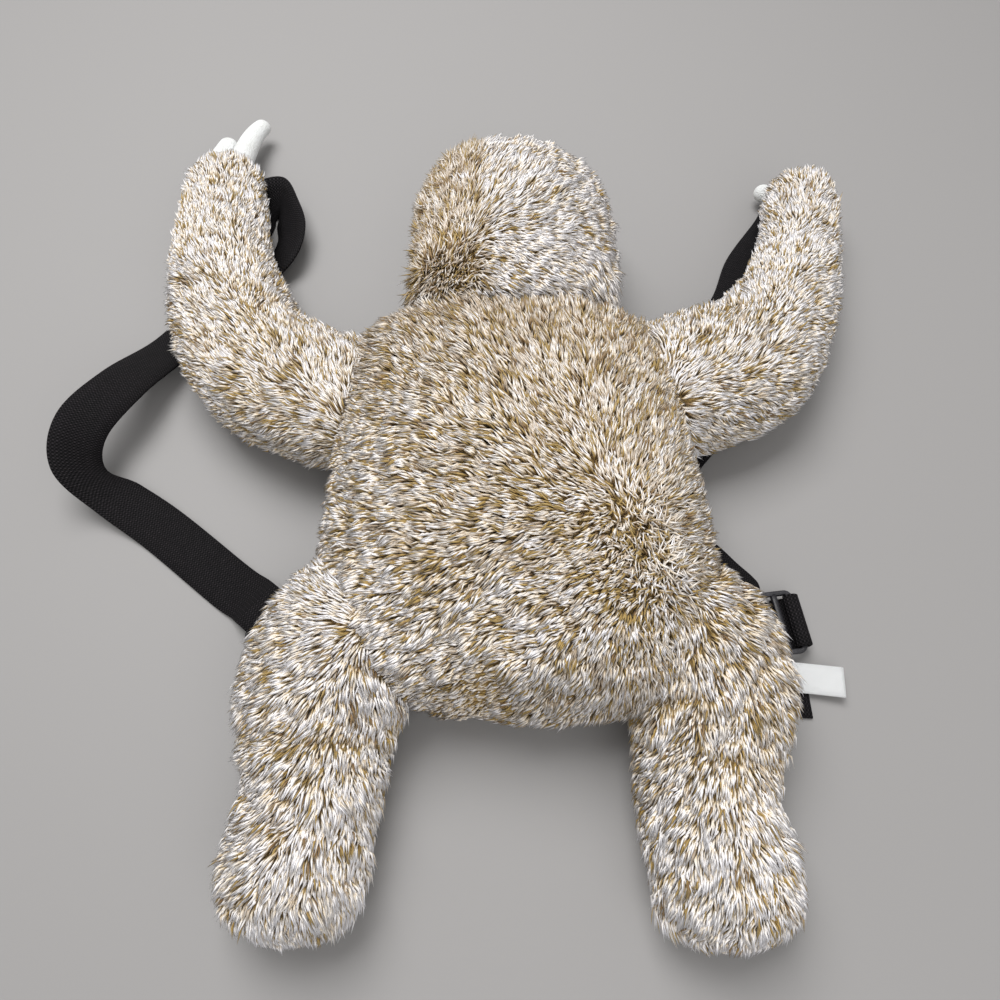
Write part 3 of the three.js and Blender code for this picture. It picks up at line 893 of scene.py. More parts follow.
TORSO_FORM = Form(
    rows=(
        (0, 0, 62, 52, 0), (1, 22, 77, 68, 0), (2, 54, 89, 79, 0), (1, 90, 88, 85, 0),
        (0, 130, 85, 85, 0), (0, 165, 85, 79, 0), (1, 192, 77, 71, 0), (1, 214, 60, 62, 0),
    ),
    start_cap=20,
    end_cap=24,
)
HEAD_FORM = Form(
    rows=(
        (1, 178, 51, 72, 0), (1, 215, 56, 82, 0), (2, 255, 57, 85, 0), (1, 296, 54, 82, 0),
        (1, 329, 48, 74, 0),
    ),
    start_cap=30,
    end_cap=56,
)
LIMB_FORMS = {
    "arm_left": Form(
        rows=(
            (-59, 154, 34, 58, 5), (-101, 165, 37, 58, 5), (-133, 184, 36, 56, 5),
            (-152, 215, 34, 53, 5), (-165, 253, 30, 50, 5), (-172, 290, 27, 46, 5),
            (-176, 326, 24, 42, 5), (-174, 347, 20, 38, 5),
        ),
        start_cap=20,
        end_cap=21,
    ),
    "arm_right": Form(
        rows=(
            (59, 162, 38, 58, 5), (97, 174, 40, 58, 5), (125, 188, 38, 56, 5),
            (146, 215, 31, 53, 5), (161, 246, 26, 50, 5), (171, 278, 23, 46, 5),
            (177, 309, 22, 43, 5), (174, 332, 19, 39, 5),
        ),
        start_cap=20,
        end_cap=20,
    ),
    "leg_left": Form(
        rows=(
            (-50, 68, 24, 58, 9), (-72, 40, 35.5, 59, 9), (-81, 15, 38, 55, 7),
            (-83, -5, 34, 51, 2), (-83, -27, 29, 49, 0), (-87, -52, 30, 49, 0),
            (-89, -83, 29, 47, 0),
        ),
        start_cap=22,
        end_cap=26,
    ),
    "leg_right": Form(
        rows=(
            (54, 68, 24, 58, 9), (76, 37, 36.5, 59, 9), (84, 15, 37, 55, 7), (82, -5, 33, 51, 2),
            (79, -27, 30, 49, 0), (82, -52, 30, 49, 0), (85, -85, 29, 47, 0),
        ),
        start_cap=22,
        end_cap=26,
    ),
}
CLAW_FORMS = {
    "claw_left_inner": Form(
        rows=(
            (-173, 332, 7.5, 27, 13), (-172.5, 356, 7.5, 24, 11), (-170, 380, 6.5, 20, 9),
            (-164, 396, 5, 17, 8),
        ),
        start_cap=3,
        end_cap=5,
        pressed=0,
    ),
    "claw_left_outer": Form(
        rows=((-189, 326, 7.5, 26, 13), (-188.5, 350, 7, 23, 11), (-184.5, 378, 6, 18, 8)),
        start_cap=3,
        end_cap=6,
        pressed=0,
    ),
    "claw_right": Form(
        rows=((182, 322, 6.5, 15, 4), (170, 329, 6.5, 15, 4), (158, 336, 5.5, 14, 5)),
        start_cap=3,
        end_cap=5,
        pressed=0,
    ),
}
# The head's and limbs' strands are drawn together less than the torso's.
SMOOTH_PILE_DRAWS = (0.1, 0.3)

# Fur of each limb: places that it fans out from, distance of the bend, darkness before and past the bend.
LIMB_FUR = {
    "arm_left": {"fans": ((-85, 124), (-140, 185)), "bend": 95.0, "shades": (-0.05, -0.4)},
    "arm_right": {"fans": ((87, 148), (132, 195)), "bend": 85.0, "shades": (-0.4, -0.6), "trim": 0.0},
    "leg_left": {"fans": ((-62, 24), (-67, -13)), "bend": 83.0, "shades": (-0.45, -0.6), "crease": 1.0},
    "leg_right": {"fans": ((80, 43), (82, -10)), "bend": 88.0, "shades": (0.1, -0.6), "crease": 1.0},
}

# Claws that are let into each hand.
HAND_CLAWS = {"arm_left": ("claw_left_inner", "claw_left_outer"), "arm_right": ("claw_right",)}

# How the fur's lift in degrees, tangle in degrees, darkness and length change with each mark of a root.
TORSO_COMB = {
    "lift": {"all": 23.0, "parting": 8.0, "ruffled": 13.0, "upper": 12.0, "neck": 16.0, "worn": -16.0},
    "tangle": {"all": 5.0, "ruffled": 22.0, "parting": 75.0},
    # Darkness: the upper mark's weight is painted shade, darker fur towards the neck. The left and lower
    # marks' weights are painted light, lighter fur at the left and tail edges.
    "shade": {
        "all": 0.75,
        "ruffled": 0.2,
        "parting": -0.3,
        "upper": 3.1,
        "worn": 0.6,
        "left": -0.85,
        "lower": -0.8,
    },
    "growth": {"all": 1.0, "parting": 0.15, "neck": 0.4, "worn": -0.4},
}
HEAD_COMB = {
    "lift": {"all": 15.0, "ruffled": 30.0},
    "tangle": {"all": 5.0, "ruffled": 38.0},
    "shade": {"all": -0.68, "ruffled": 3.4},
    "growth": {"all": 1.1, "corner": 0.35, "ruffled": -0.1},
}


@dataclass
class Comb:
    """How the fur lies at some roots: direction on the surface, lift off it, tangle, darkness and length."""

    nap: np.ndarray
    lift: np.ndarray
    tangle: np.ndarray
    shade: np.ndarray
    growth: np.ndarray

    @classmethod
    def weighed(cls, flat: np.ndarray, table: dict[str, Weights], marks: dict[str, np.ndarray]) -> "Comb":
        """Comb whose lift, tangle, darkness and length are each a sum of marks times their weights.

        Args:
            flat: Level direction x, y of the fur at each root.
            table: Weights of the marks, for each of the four. The mark named all is 1 at every root.
            marks: Strength of each mark at each root, from 0 to 1.

        Returns:
            The lie of the fur.
        """
        count = len(flat)
        marks = {"all": np.ones(count), **marks}
        sums = {}
        for kind, weights in table.items():
            sums[kind] = sum(weight * marks[name] for name, weight in weights.items())
        return cls(np.column_stack([flat, np.zeros(count)]), **sums)


@dataclass(frozen=True)
class Pile:
    """Sizes of the fur, in millimetres and degrees.

    Attributes:
        length: Usual length of a strand.
        length_wave: Change of length with the middle one of the turning waves.
        length_spread: Chance change of length.
        half_width: Half the width of a strand at its middle.
        half_thick: Half its thickness there.
        widths: Range of a strand's width against the usual one.
        spacing: Distance between roots.
        tries: Random places that the roots are picked from.
        turns: Wavelength and size of each wave that turns the nap.
        lift_wave: Wavelength and size of the wave that raises the strands.
        lift_spread: Chance change of the lift.
        rises: Lift of a strand's two steps over its own lift.
        shares: Share of the length in each step.
        curl: Sideways bend of a strand.
        curl_wave: Wavelength of the bend.
        curl_spread: Chance part of the bend.
        lock: Size of a lock.
        warp: How far slow waves bend the cells of the locks.
        warp_wave: Wavelength of those waves, in locks.
        draws: Share of the way that a strand's middle and tip are drawn to the middle of their lock.
        calm_tangle: Tangle that keeps strands from being drawn together at all.
        lock_tones: Share of the strands that take their lock's tone.
        droop: How strongly the nap falls.
        sink: Depth of the roots under the skin.
        floor: Least height of a strand.
        under: Downward slope past which nothing grows.
        full: Downward slope where the fur starts to thin.
        thinnest: Share of the fur that is left at the steepest slope.
    """

    length: float = 9.2
    length_wave: float = 0.1
    length_spread: float = 0.12
    half_width: float = 0.58
    half_thick: float = 0.36
    widths: Range = (0.8, 1.2)
    spacing: float = 1.13
    tries: int = 500000
    turns: tuple[Range, ...] = ((45.0, 8.0), (14.0, 9.0), (6.0, 8.0))
    lift_wave: Range = (8.0, 6.0)
    lift_spread: float = 5.0
    rises: Range = (16.0, -12.0)
    shares: Range = (0.55, 0.45)
    curl: float = 8.0
    curl_wave: float = 7.0
    curl_spread: float = 0.6
    lock: float = 4.4
    warp: float = 1.3
    warp_wave: float = 2.5
    draws: Range = (0.22, 0.55)
    calm_tangle: float = 55.0
    lock_tones: float = 0.4
    droop: float = 0.5
    sink: float = 0.8
    floor: float = 0.7
    under: float = -0.78
    full: float = -0.25
    thinnest: float = 0.3


def fan_out(roots: np.ndarray, start: Row, end: Row) -> tuple[np.ndarray, np.ndarray]:
    """Level directions straight away from the nearest place on a short parting.

    Args:
        roots: Roots of the strands.
        start: Place x, y of the parting's first end.
        end: Place of its other end, the same where the fur runs out from one place.

    Returns:
        Directions x, y and distances.
    """
    first = np.array(start, float)
    along = np.array(end, float) - first
    flat = roots[:, :2] - first
    share = np.clip(flat @ along / max(along @ along, 1e-9), 0.0, 1.0)
    away = flat - share[:, None] * along
    return unit(away), np.linalg.norm(away, axis=1)


def spot(roots: np.ndarray, place: Row) -> np.ndarray:
    """Strength at each root of a round spot x, y, reach: a bell curve, 1 at its middle."""
    x, y, reach = place
    return np.exp(-((roots[:, :2] - np.array([x, y])) ** 2).sum(axis=1) / reach**2)


def draw_together(points: np.ndarray, lock: np.ndarray, share: np.ndarray) -> np.ndarray:
    """Moves each point a share of its way to the mean point of its lock.

    Args:
        points: One point of every strand.
        lock: Number of the lock that each strand is in.
        share: Share of the way for each strand, 0 to 1.

    Returns:
        The moved points.
    """
    sums = np.stack([np.bincount(lock, column) for column in points.T], axis=-1)
    middles = sums / np.bincount(lock)[:, None]
    return points + share[:, None] * (middles[lock] - points)


@dataclass
class PlushPart:
    """A stuffed, furred piece of the animal."""

    name: str
    form: Form
    pile: Pile = Pile()
    finish: FurFinish = FurFinish()
    fur_pieces: int = 1
    columns: int = HEAD_COLUMNS

    def comb(self, roots: np.ndarray, normals: np.ndarray) -> Comb:
        """How the fur lies at the roots; each kind of piece has its own."""
        raise NotImplementedError

    def hidden(self, roots: np.ndarray) -> np.ndarray:
        """Whether roots lie where another piece covers them."""
        raise NotImplementedError

    def skin(self) -> bpy.types.Object:
        """The backing under the fur, before it is cut to its neighbours."""
        return make_object(f"{self.name}_skin", *self.form.shell(BACKING, 0.0, SKIN_SPACING, self.columns))

    def roots(self, rng: np.random.Generator) -> tuple[np.ndarray, np.ndarray]:
        """Places of the strands: of many random places, one for each occupied cell of a cubic grid.

        Args:
            rng: Source of chance.

        Returns:
            Roots and normals of the strands that aren't covered or under the piece.
        """
        pile = self.pile
        roots, normals = self.form.scatter(pile.tries, BACKING, rng)
        cells = np.floor(roots / pile.spacing).astype(int)
        kept = np.unique(cells, axis=0, return_index=True)[1]
        roots, normals = roots[kept], normals[kept]
        slope = normals[:, 2]
        share = pile.thinnest + (1.0 - pile.thinnest) * smoothstep(pile.under, pile.full, slope)
        shown = (slope > pile.under) & (rng.random(len(roots)) < share) & ~self.hidden(roots)
        return roots[shown], normals[shown]

    def locks(self, roots: np.ndarray, seed: int) -> np.ndarray:
        """Numbers of the locks: the cells of a cubic grid, bent by slow waves, that the roots fall in.

        Args:
            roots: Roots of the strands.
            seed: Seed of the first wave.

        Returns:
            The number of each strand's lock.
        """
        wavelength = self.pile.warp_wave * self.pile.lock
        waves = [smooth_noise(roots, wavelength, seed + k) for k in range(3)]
        bent = roots + self.pile.warp * np.stack(waves, axis=-1)
        cells = np.floor(bent / self.pile.lock).astype(int)
        return np.unique(cells, axis=0, return_inverse=True)[1].ravel()

    def spines(
        self, roots: np.ndarray, normals: np.ndarray, comb: Comb, rng: np.random.Generator, seed: int
    ) -> tuple[list[np.ndarray], np.ndarray]:
        """Root, middle and tip of every strand, a chain of two steps.

        Each step goes along the nap, turned sideways by the strand's own bend, the first to one side and the
        second to the other, and raised by its lift, more at the root.

        Args:
            roots: Roots of the strands.
            normals: Outward directions there.
            comb: The lie of the fur.
            rng: Source of chance.
            seed: Seed of this piece's smooth noises.

        Returns:
            The three points of every strand, and the direction across it.
        """
        pile = self.pile
        count = len(roots)
        waves = [smooth_noise(roots, wavelength, seed + Wave.TURN) for wavelength, _ in pile.turns]
        turn = sum(size * wave for (_, size), wave in zip(pile.turns, waves))
        turn = np.radians(turn + comb.tangle * rng.normal(0, 1.0, count))
        nap = comb.nap - np.array([0.0, 0.0, pile.droop])
        nap = unit(nap - normals * (nap * normals).sum(axis=1, keepdims=True))
        side = np.cross(normals, nap)
        nap = nap * np.cos(turn)[:, None] + side * np.sin(turn)[:, None]
        side = np.cross(normals, nap)
        wavelength, size = pile.lift_wave
        lift = comb.lift + size * smooth_noise(roots, wavelength, seed + Wave.LIFT)
        lift = lift + rng.normal(0, pile.lift_spread, count)
        change = 1.0 + pile.length_wave * waves[1] + rng.normal(0, pile.length_spread, count)
        length = pile.length * comb.growth * change
        curl = smooth_noise(roots, pile.curl_wave, seed + Wave.CURL) + rng.normal(0, pile.curl_spread, count)
        bend = pile.curl * curl
        spine = [roots - normals * pile.sink]
        for sway, rise, share in zip((-bend, bend), pile.rises, pile.shares):
            across = np.radians(sway)[:, None]
            up = np.radians(lift + rise)[:, None]
            along = nap * np.cos(across) + side * np.sin(across)
            step = along * np.cos(up) + normals * np.sin(up)
            spine.append(spine[-1] + step * (length * share)[:, None])
        return spine, side

    def grow_fur(self, material: bpy.types.Material, seed: int) -> None:
        """Grows the fur: a strand at each root, drawn together into locks and kept over the floor.

        Args:
            material: Fur material.
            seed: Seed of this piece's chance.
        """
        rng = np.random.default_rng(seed)
        pile = self.pile
        roots, normals = self.roots(rng)
        comb = self.comb(roots, normals)
        count = len(roots)
        spine, side = self.spines(roots, normals, comb, rng, seed)
        lock = self.locks(roots, seed + Wave.LOCK)
        calm = np.clip(1.0 - comb.tangle / pile.calm_tangle, 0.0, 1.0)
        for k, draw in enumerate(pile.draws, start=1):
            spine[k] = draw_together(spine[k], lock, draw * calm)
            spine[k][:, 2] = np.maximum(spine[k][:, 2], pile.floor)
        width = rng.uniform(*pile.widths, count)[:, None]
        shared = rng.random(lock.max() + 1)[lock]
        own = np.where(rng.random(count) < pile.lock_tones, shared, rng.random(count))
        tone = self.finish.pick(own ** (1.0 / (1.0 + comb.shade)))
        points = strand_points(spine, side, pile, width)
        parts = np.array_split(np.argsort(roots[:, 0], kind="stable"), self.fur_pieces)
        for k, part in enumerate(parts):
            suffix = f"_{k + 1}" if self.fur_pieces > 1 else ""
            fur = strand_object(f"{self.name}_fur{suffix}", points[part], tone[part], len(self.finish.tones))
            dress(fur, material, Slot.PLUSH)


# One strand: turns of its ring's corners, and faces and map places of its root, ring and tip.
STRAND_TURNS = np.radians([90.0, 210.0, 330.0])
STRAND_FACES = np.concatenate([fan_triangles(np.array([3, 2, 1]), 0), fan_triangles(np.array([1, 2, 3]), 4)])
STRAND_U = np.array([0.0, 0.0, -0.3, 0.3, 0.0])
STRAND_V = np.array([0.02, 0.55, 0.55, 0.55, 0.98])


def strand_points(spine: list[np.ndarray], side: np.ndarray, pile: Pile, width: np.ndarray) -> np.ndarray:
    """Five points for each strand: the root, a three-cornered ring near the middle, and the tip.

    A ring's corner lies at the half width times the cosine of its turn along the strand's side, and the
    half thickness times the sine along the direction square to the side and the strand.

    Args:
        spine: Root, middle and tip of every strand.
        side: Direction across each strand.
        pile: Sizes of the fur.
        width: Width of each strand against the usual one.

    Returns:
        Points, strands by 5 by 3.
    """
    root, middle, tip = spine
    over = unit(np.cross(tip - root, side))
    wide = (side * width * pile.half_width)[:, None] * np.cos(STRAND_TURNS)[None, :, None]
    thick = (over * width * pile.half_thick)[:, None] * np.sin(STRAND_TURNS)[None, :, None]
    return np.concatenate([root[:, None], middle[:, None] + wide + thick, tip[:, None]], axis=1)


def strand_object(name: str, points: np.ndarray, tone: np.ndarray, tones: int) -> bpy.types.Object:
    """One mesh of many strands, each mapped to the UV column of its tone.

    Args:
        name: Name of the piece.
        points: Points, strands by 5 by 3.
        tone: Tone of each strand.
        tones: Number of tones.

    Returns:
        The object.
    """
    count = len(points)
    firsts = points.shape[1] * np.arange(count)
    triangles = (STRAND_FACES[None] + firsts[:, None, None]).reshape(-1, 3)
    made = make_object(name, points.reshape(-1, 3), triangles)
    column = (tone[:, None] + 0.5 + STRAND_U[None]) / tones
    corner_u = column[:, STRAND_FACES.ravel()]
    corner_v = np.broadcast_to(STRAND_V[STRAND_FACES.ravel()], corner_u.shape)
    set_uv(made, UvName.STRAND, np.stack([corner_u, corner_v], axis=-1))
    return made


@dataclass
class Torso(PlushPart):
    """The hollow body: fur that runs out from a parting, a pocket inside and the zip slit."""

    parting: tuple[Row, Row] = ((53, 75), (60, 53))
    parting_reach: float = 10.0
    ruffles: tuple[Row, ...] = ((55, 64, 36), (56, 25, 24), (32, 116, 26))
    worn: Row = (-11, 13, 9)
    neck_y: Range = (182.0, 204.0)
    neck_x: Range = (56.0, 28.0)
    # Spans where the fur's tone is lightened at the left and tail edges, painted light, and darkened towards
    # the neck, painted shade.
    left_x: Range = (-25.0, -60.0)
    lower_y: Range = (75.0, 25.0)
    upper_y: Range = (110.0, 200.0)
    wall: float = 9.0
    pocket_spacing: float = 6.0
    pocket_columns: int = 48
    slit_x: float = -8.0
    slit_start: float = 42.0
    slit_end: float = 158.0
    slit_width: float = 9.0
    slit_heights: Range = (50.0, 110.0)

    def comb(self, roots: np.ndarray, normals: np.ndarray) -> Comb:
        """Fur runs out from the parting, stands up at the ruffles and neck, and is thin at the worn spot.

        Args:
            roots: Roots of the strands.
            normals: Outward directions there; not used.

        Returns:
            The lie of the fur.
        """
        x, y = roots[:, 0], roots[:, 1]
        out, distance = fan_out(roots, *self.parting)
        marks = {
            "parting": np.exp(-((distance / self.parting_reach) ** 2)),
            "ruffled": np.max([spot(roots, place) for place in self.ruffles], axis=0),
            "worn": spot(roots, self.worn),
            "neck": smoothstep(*self.neck_y, y) * smoothstep(*self.neck_x, np.abs(x)),
            # Left and lower only lighten the tone, painted light. Upper darkens it, painted shade, and also
            # raises the fur.
            "left": smoothstep(*self.left_x, x),
            "lower": smoothstep(*self.lower_y, y),
            "upper": smoothstep(*self.upper_y, y),
        }
        return Comb.weighed(out, TORSO_COMB, marks)

    def hidden(self, roots: np.ndarray) -> np.ndarray:
        """Roots under the head or a limb are covered.

        Args:
            roots: Roots of the strands.

        Returns:
            One flag for each root.
        """
        covered = HEAD_FORM.inside(roots, BACKING)
        for form in LIMB_FORMS.values():
            covered |= form.inside(roots, BACKING)
        return covered

    def pocket(self) -> bpy.types.Object:
        """The hollow inside, drawn as the body is, one wall further in."""
        sizes = (BACKING - self.wall, -self.wall, self.pocket_spacing, self.pocket_columns)
        return make_object("pocket_space", *self.form.shell(*sizes))

    def slit(self) -> bpy.types.Object:
        """The straight slit over the pocket that the zip closes, as a box.

        Returns:
            The closed shape to cut away.
        """
        start, end = self.slit_start, self.slit_end
        across = np.array([-0.5, 0.5, 0.5, -0.5]) * self.slit_width + self.slit_x
        height = np.repeat(self.slit_heights, 4)
        x = np.tile(across, 2)
        y = np.tile([start, start, end, end], 2)
        corners = np.column_stack([x, y, height])
        lid = np.array([(0, 2, 1), (0, 3, 2), (4, 5, 6), (4, 6, 7)])
        return make_object("slit_space", corners, np.concatenate([grid_triangles(2, 4), lid]))


@dataclass
class Head(PlushPart):
    """The head, face down: combed to the right, ruffled on the left."""

    crown: Range = (-46.0, 214.0)
    seam_x: float = -12.0
    seam_blend: Range = (0.0, 12.0)
    level: Range = (0.2, 0.6)
    corner_x: Range = (24.0, 44.0)
    corner_y: Range = (232.0, 212.0)
    corner_turn: float = 1.4

    def comb(self, roots: np.ndarray, normals: np.ndarray) -> Comb:
        """Fur runs out from a crown at the left, is ruffled left of the seam, and falls over the corners.

        Args:
            roots: Roots of the strands.
            normals: Outward directions there.

        Returns:
            The lie of the fur.
        """
        x, y = roots[:, 0], roots[:, 1]
        left = smoothstep(*self.seam_blend, self.seam_x - x)
        corner = smoothstep(*self.corner_x, np.abs(x)) * smoothstep(*self.corner_y, y)
        marks = {"ruffled": left * smoothstep(*self.level, normals[:, 2]), "corner": corner}
        out = unit(roots[:, :2] - np.array(self.crown))
        out[:, 1] -= self.corner_turn * corner
        return Comb.weighed(out, HEAD_COMB, marks)

    def hidden(self, roots: np.ndarray) -> np.ndarray:
        """Roots inside the torso are covered."""
        return TORSO_FORM.inside(roots, BACKING)


@dataclass
class Limb(PlushPart):
    """An arm or leg: fur that fans out from a place at its root, and from another past its bend."""

    fans: tuple[Row, Row] = ((0.0, 0.0), (0.0, 0.0))
    bend: float = 85.0
    bend_blend: float = 8.0
    shades: Range = (0.0, -0.3)
    shade_blend: float = 30.0
    # Strength of the fold across the limb at its bend, where the fur stands up, is shorter and is darkened
    # with painted shade.
    crease: float = 0.0
    crease_reach: float = 3.0
    trim: float = 0.35
    trim_blend: Range = (16.0, 4.0)
    even: float = 14.0

    def weights(self) -> dict[str, Weights]:
        """Weights of the limb's marks, with its own shades and trim.

        Returns:
            Weights for the lift, tangle, darkness and length.
        """
        near, far = self.shades
        return {
            "lift": {"all": 17.0, "crease": 8.0},
            "tangle": {"all": 5.0},
            # The crease's darkness weight is painted shade along the fold. Its lift and length weights shape
            # the fold itself.
            "shade": {"all": near, "far": far - near, "crease": 1.1},
            "growth": {"all": 1.1, "end": -self.trim, "crease": -0.35},
        }

    def comb(self, roots: np.ndarray, normals: np.ndarray) -> Comb:
        """Fur runs straight out from the first place, and past the bend from the second.

        Near both places it runs along the limb instead.

        Args:
            roots: Roots of the strands.
            normals: Outward directions there; not used.

        Returns:
            The lie of the fur.
        """
        length, bend = self.form.length, self.bend
        distance = self.form.measure(roots)[0]
        heading = self.form.at(distance).heading
        past = smoothstep(bend - self.bend_blend, bend + self.bend_blend, distance)
        flat = np.zeros((len(roots), 2))
        for middle, share in zip(self.fans, (1.0 - past, past)):
            out, away = fan_out(roots, middle, middle)
            along = self.even / (away + self.even)
            flat += (out * (1.0 - along)[:, None] + heading * along[:, None]) * share[:, None]
        trim_start, trim_end = self.trim_blend
        marks = {
            "crease": self.crease * np.exp(-(((distance - bend) / self.crease_reach) ** 2)),
            "end": smoothstep(length - trim_start, length - trim_end, distance),
            "far": smoothstep(bend - self.shade_blend, bend + self.shade_blend, distance),
        }
        return Comb.weighed(unit(flat), self.weights(), marks)

    def hidden(self, roots: np.ndarray) -> np.ndarray:
        """Roots inside the torso are covered."""
        return TORSO_FORM.inside(roots, BACKING)


@dataclass
class Band:
    """A flat band along a route of x, y, z, direction of its width and lift from flat."""

    name: str
    route: list[Row]
    width: float = 25.0
    thick: float = 1.6
    steps_per_row: int = 10
    face_points: int = 5
    easing: float = 0.4
    edge: float = 0.45

    def stations(self) -> tuple[np.ndarray, np.ndarray, np.ndarray]:
        """Middle points, directions across and directions out of the face, along the band.

        Returns:
            Three arrays of one row for each station.
        """
        count = (len(self.route) - 1) * self.steps_per_row + 1
        curve = catmull_rom(np.array(self.route, float), count)
        middle = curve[:, :3].copy()
        across, roll = np.radians(curve[:, 3]), np.radians(curve[:, 4])
        side = np.column_stack([np.cos(across) * np.cos(roll), np.sin(across) * np.cos(roll), np.sin(roll)])
        heading = unit(np.gradient(middle, axis=0))
        face = unit(np.cross(heading, side))
        reach = 0.5 * self.width * np.abs(np.sin(roll)) + 0.5 * self.thick * np.cos(roll)
        middle[:, 2] = np.maximum(middle[:, 2], FLOOR_CLEAR + reach)
        return middle, side, face

    def profile(self, grow: float) -> np.ndarray:
        """Section of the band: a flat rectangle with eased edges, counter-clockwise from its right edge.

        Args:
            grow: Offset of the section.

        Returns:
            Points, across the band and out of its face.
        """
        half, thick = 0.5 * self.width + grow, 0.5 * self.thick + grow
        flat = np.linspace(half - self.easing * thick, -half + self.easing * thick, self.face_points)
        top = np.column_stack([flat, np.full(self.face_points, thick)])
        edge = np.array([(half, self.edge * thick)])
        return np.concatenate([edge, top, edge * (-1, 1), -edge, -top, edge * (1, -1)])

    def build(self, grow: float = 0.0) -> bpy.types.Object:
        """Carries the section along the route and closes both ends.

        Args:
            grow: Offset of the whole band, for the room it needs.

        Returns:
            The band, with a weave map in metres along and across it.
        """
        middle, side, face = self.stations()
        section = self.profile(grow)
        rings = middle[:, None] + side[:, None] * section[None, :, :1] + face[:, None] * section[None, :, 1:]
        rows, columns = rings.shape[:2]
        points = np.concatenate([rings.reshape(-1, 3), middle[[0, -1]]])
        triangles = tube_triangles(rows, columns)
        made = make_object(self.name, points, triangles)
        along = lengths_along(middle)
        u = np.concatenate([np.repeat(along, columns), along[[0, -1]]])
        v = np.concatenate([np.tile(section[:, 0], rows), [0.0, 0.0]])
        set_uv(made, UvName.WEAVE, np.column_stack([u, v])[triangles.ravel()] * MM)
        return made


@dataclass
class Slider:
    """A flat three-bar slider: its middle, its height, the direction across its bars, and its sizes."""

    name: str
    x: float
    y: float
    z: float
    across: float
    length: float = 31.0
    depth: float = 18.0
    thick: float = 2.8
    bar: float = 7.5
    bar_width: float = 2.8
    bar_inset: float = 0.6
    rail_width: float = 2.4
    corner: float = 2.6
    wrap_radius: float = 3.3
    wrap_back: float = 6.0

    def beside(self, out: float, z: float, across: float) -> Row:
        """Row of a band's route at a distance across the bars."""
        direction = math.radians(self.across)
        return (self.x + out * math.cos(direction), self.y + out * math.sin(direction), z, across, 0.0)

    def along_bars(self, half_turns: int = 0) -> float:
        """Direction along the bars in degrees, turned on by some half turns."""
        return self.across + 90.0 + 180.0 * half_turns

    def wrap(self, bar: float, start: float, end: float, across: float) -> list[Row]:
        """Rows of a band's route that goes round one bar.

        Args:
            bar: Place of the bar across the slider.
            start: Turn round the bar where the rows start, in degrees.
            end: Turn where they end.
            across: Direction of the band's width.

        Returns:
            The rows in order.
        """
        turns = np.radians(np.linspace(start, end, WRAP_ROWS))
        outs = bar + self.wrap_radius * np.cos(turns)
        heights = self.z + self.wrap_radius * np.sin(turns)
        return [self.beside(out, height, across) for out, height in zip(outs, heights)]

    def thread(self, bar: float, start: float, end: float, across: float) -> list[Row]:
        """Rows of a band's route that goes round one bar and a short way back under itself, as in wrap."""
        back = bar + math.copysign(self.wrap_back, bar)
        return [*self.wrap(bar, start, end, across), self.beside(back, self.z - self.wrap_radius, across)]

    def beam(self, path: np.ndarray, widths: np.ndarray, closed: bool) -> tuple[np.ndarray, np.ndarray]:
        """A rounded section carried along a flat path.

        The section is a superellipse: the cosine and sine of the turn, each to the power a half.

        Args:
            path: Points x, y of the path.
            widths: Half width of the beam at each point.
            closed: Whether the path is a loop.

        Returns:
            Points and triangles.
        """
        if closed:
            slope = np.roll(path, -1, axis=0) - np.roll(path, 1, axis=0)
        else:
            slope = np.gradient(path, axis=0)
        heading = unit(slope)
        right = np.column_stack([heading[:, 1], -heading[:, 0]])
        turn = np.linspace(0, 2 * math.pi, BEAM_COLUMNS, endpoint=False)
        out = np.sign(np.cos(turn)) * np.abs(np.cos(turn)) ** 0.5
        up = np.sign(np.sin(turn)) * np.abs(np.sin(turn)) ** 0.5 * 0.5 * self.thick
        flat = path[:, None] + right[:, None] * (out[None] * widths[:, None])[..., None]
        height = np.broadcast_to(up, flat.shape[:2])[..., None]
        rings = np.concatenate([flat, height], axis=-1)
        rows, columns = rings.shape[:2]
        points = rings.reshape(-1, 3)
        if closed:
            return points, grid_triangles(rows + 1, columns) % len(points)
        poles = np.column_stack([path[[0, -1]], [0.0, 0.0]])
        return np.concatenate([points, poles]), tube_triangles(rows, columns)

    def build(self) -> bpy.types.Object:
        """The rounded frame and its middle bar.

        The frame's path is a rounded rectangle: four quarter circles joined by straights. Its half width
        goes from the bars' to the rails' with the direction of the path.

        Returns:
            The slider in its place.
        """
        quarter = np.linspace(0, math.pi / 2, CORNER_POINTS)
        turn = np.concatenate([quarter + k * math.pi / 2 for k in range(4)])
        sign_x = np.repeat([1, -1, -1, 1], CORNER_POINTS)
        sign_y = np.repeat([1, 1, -1, -1], CORNER_POINTS)
        half_x = 0.5 * (self.depth - self.bar_width) - self.corner
        half_y = 0.5 * (self.length - self.rail_width) - self.corner
        path_x = sign_x * half_x + self.corner * np.cos(turn)
        path_y = sign_y * half_y + self.corner * np.sin(turn)
        share = np.sin(turn) ** 2
        widths = 0.5 * (self.bar_width * (1 - share) + self.rail_width * share)
        frame_points, frame_faces = self.beam(np.column_stack([path_x, path_y]), widths, closed=True)
        reach = 0.5 * self.length - self.bar_inset * self.rail_width
        bar_path = np.column_stack([np.zeros(BAR_POINTS), np.linspace(-reach, reach, BAR_POINTS)])
        bar_widths = np.full(BAR_POINTS, 0.5 * self.bar_width)
        bar_points, bar_faces = self.beam(bar_path, bar_widths, closed=False)
        points = np.concatenate([frame_points, bar_points])
        faces = np.concatenate([frame_faces, bar_faces + len(frame_points)])
        angle = math.radians(self.across)
        turned_x = points[:, 0] * math.cos(angle) - points[:, 1] * math.sin(angle)
        turned_y = points[:, 0] * math.sin(angle) + points[:, 1] * math.cos(angle)
        placed = np.column_stack([turned_x + self.x, turned_y + self.y, points[:, 2] + self.z])
        return make_object(f"{self.name}_moulding", placed, faces)


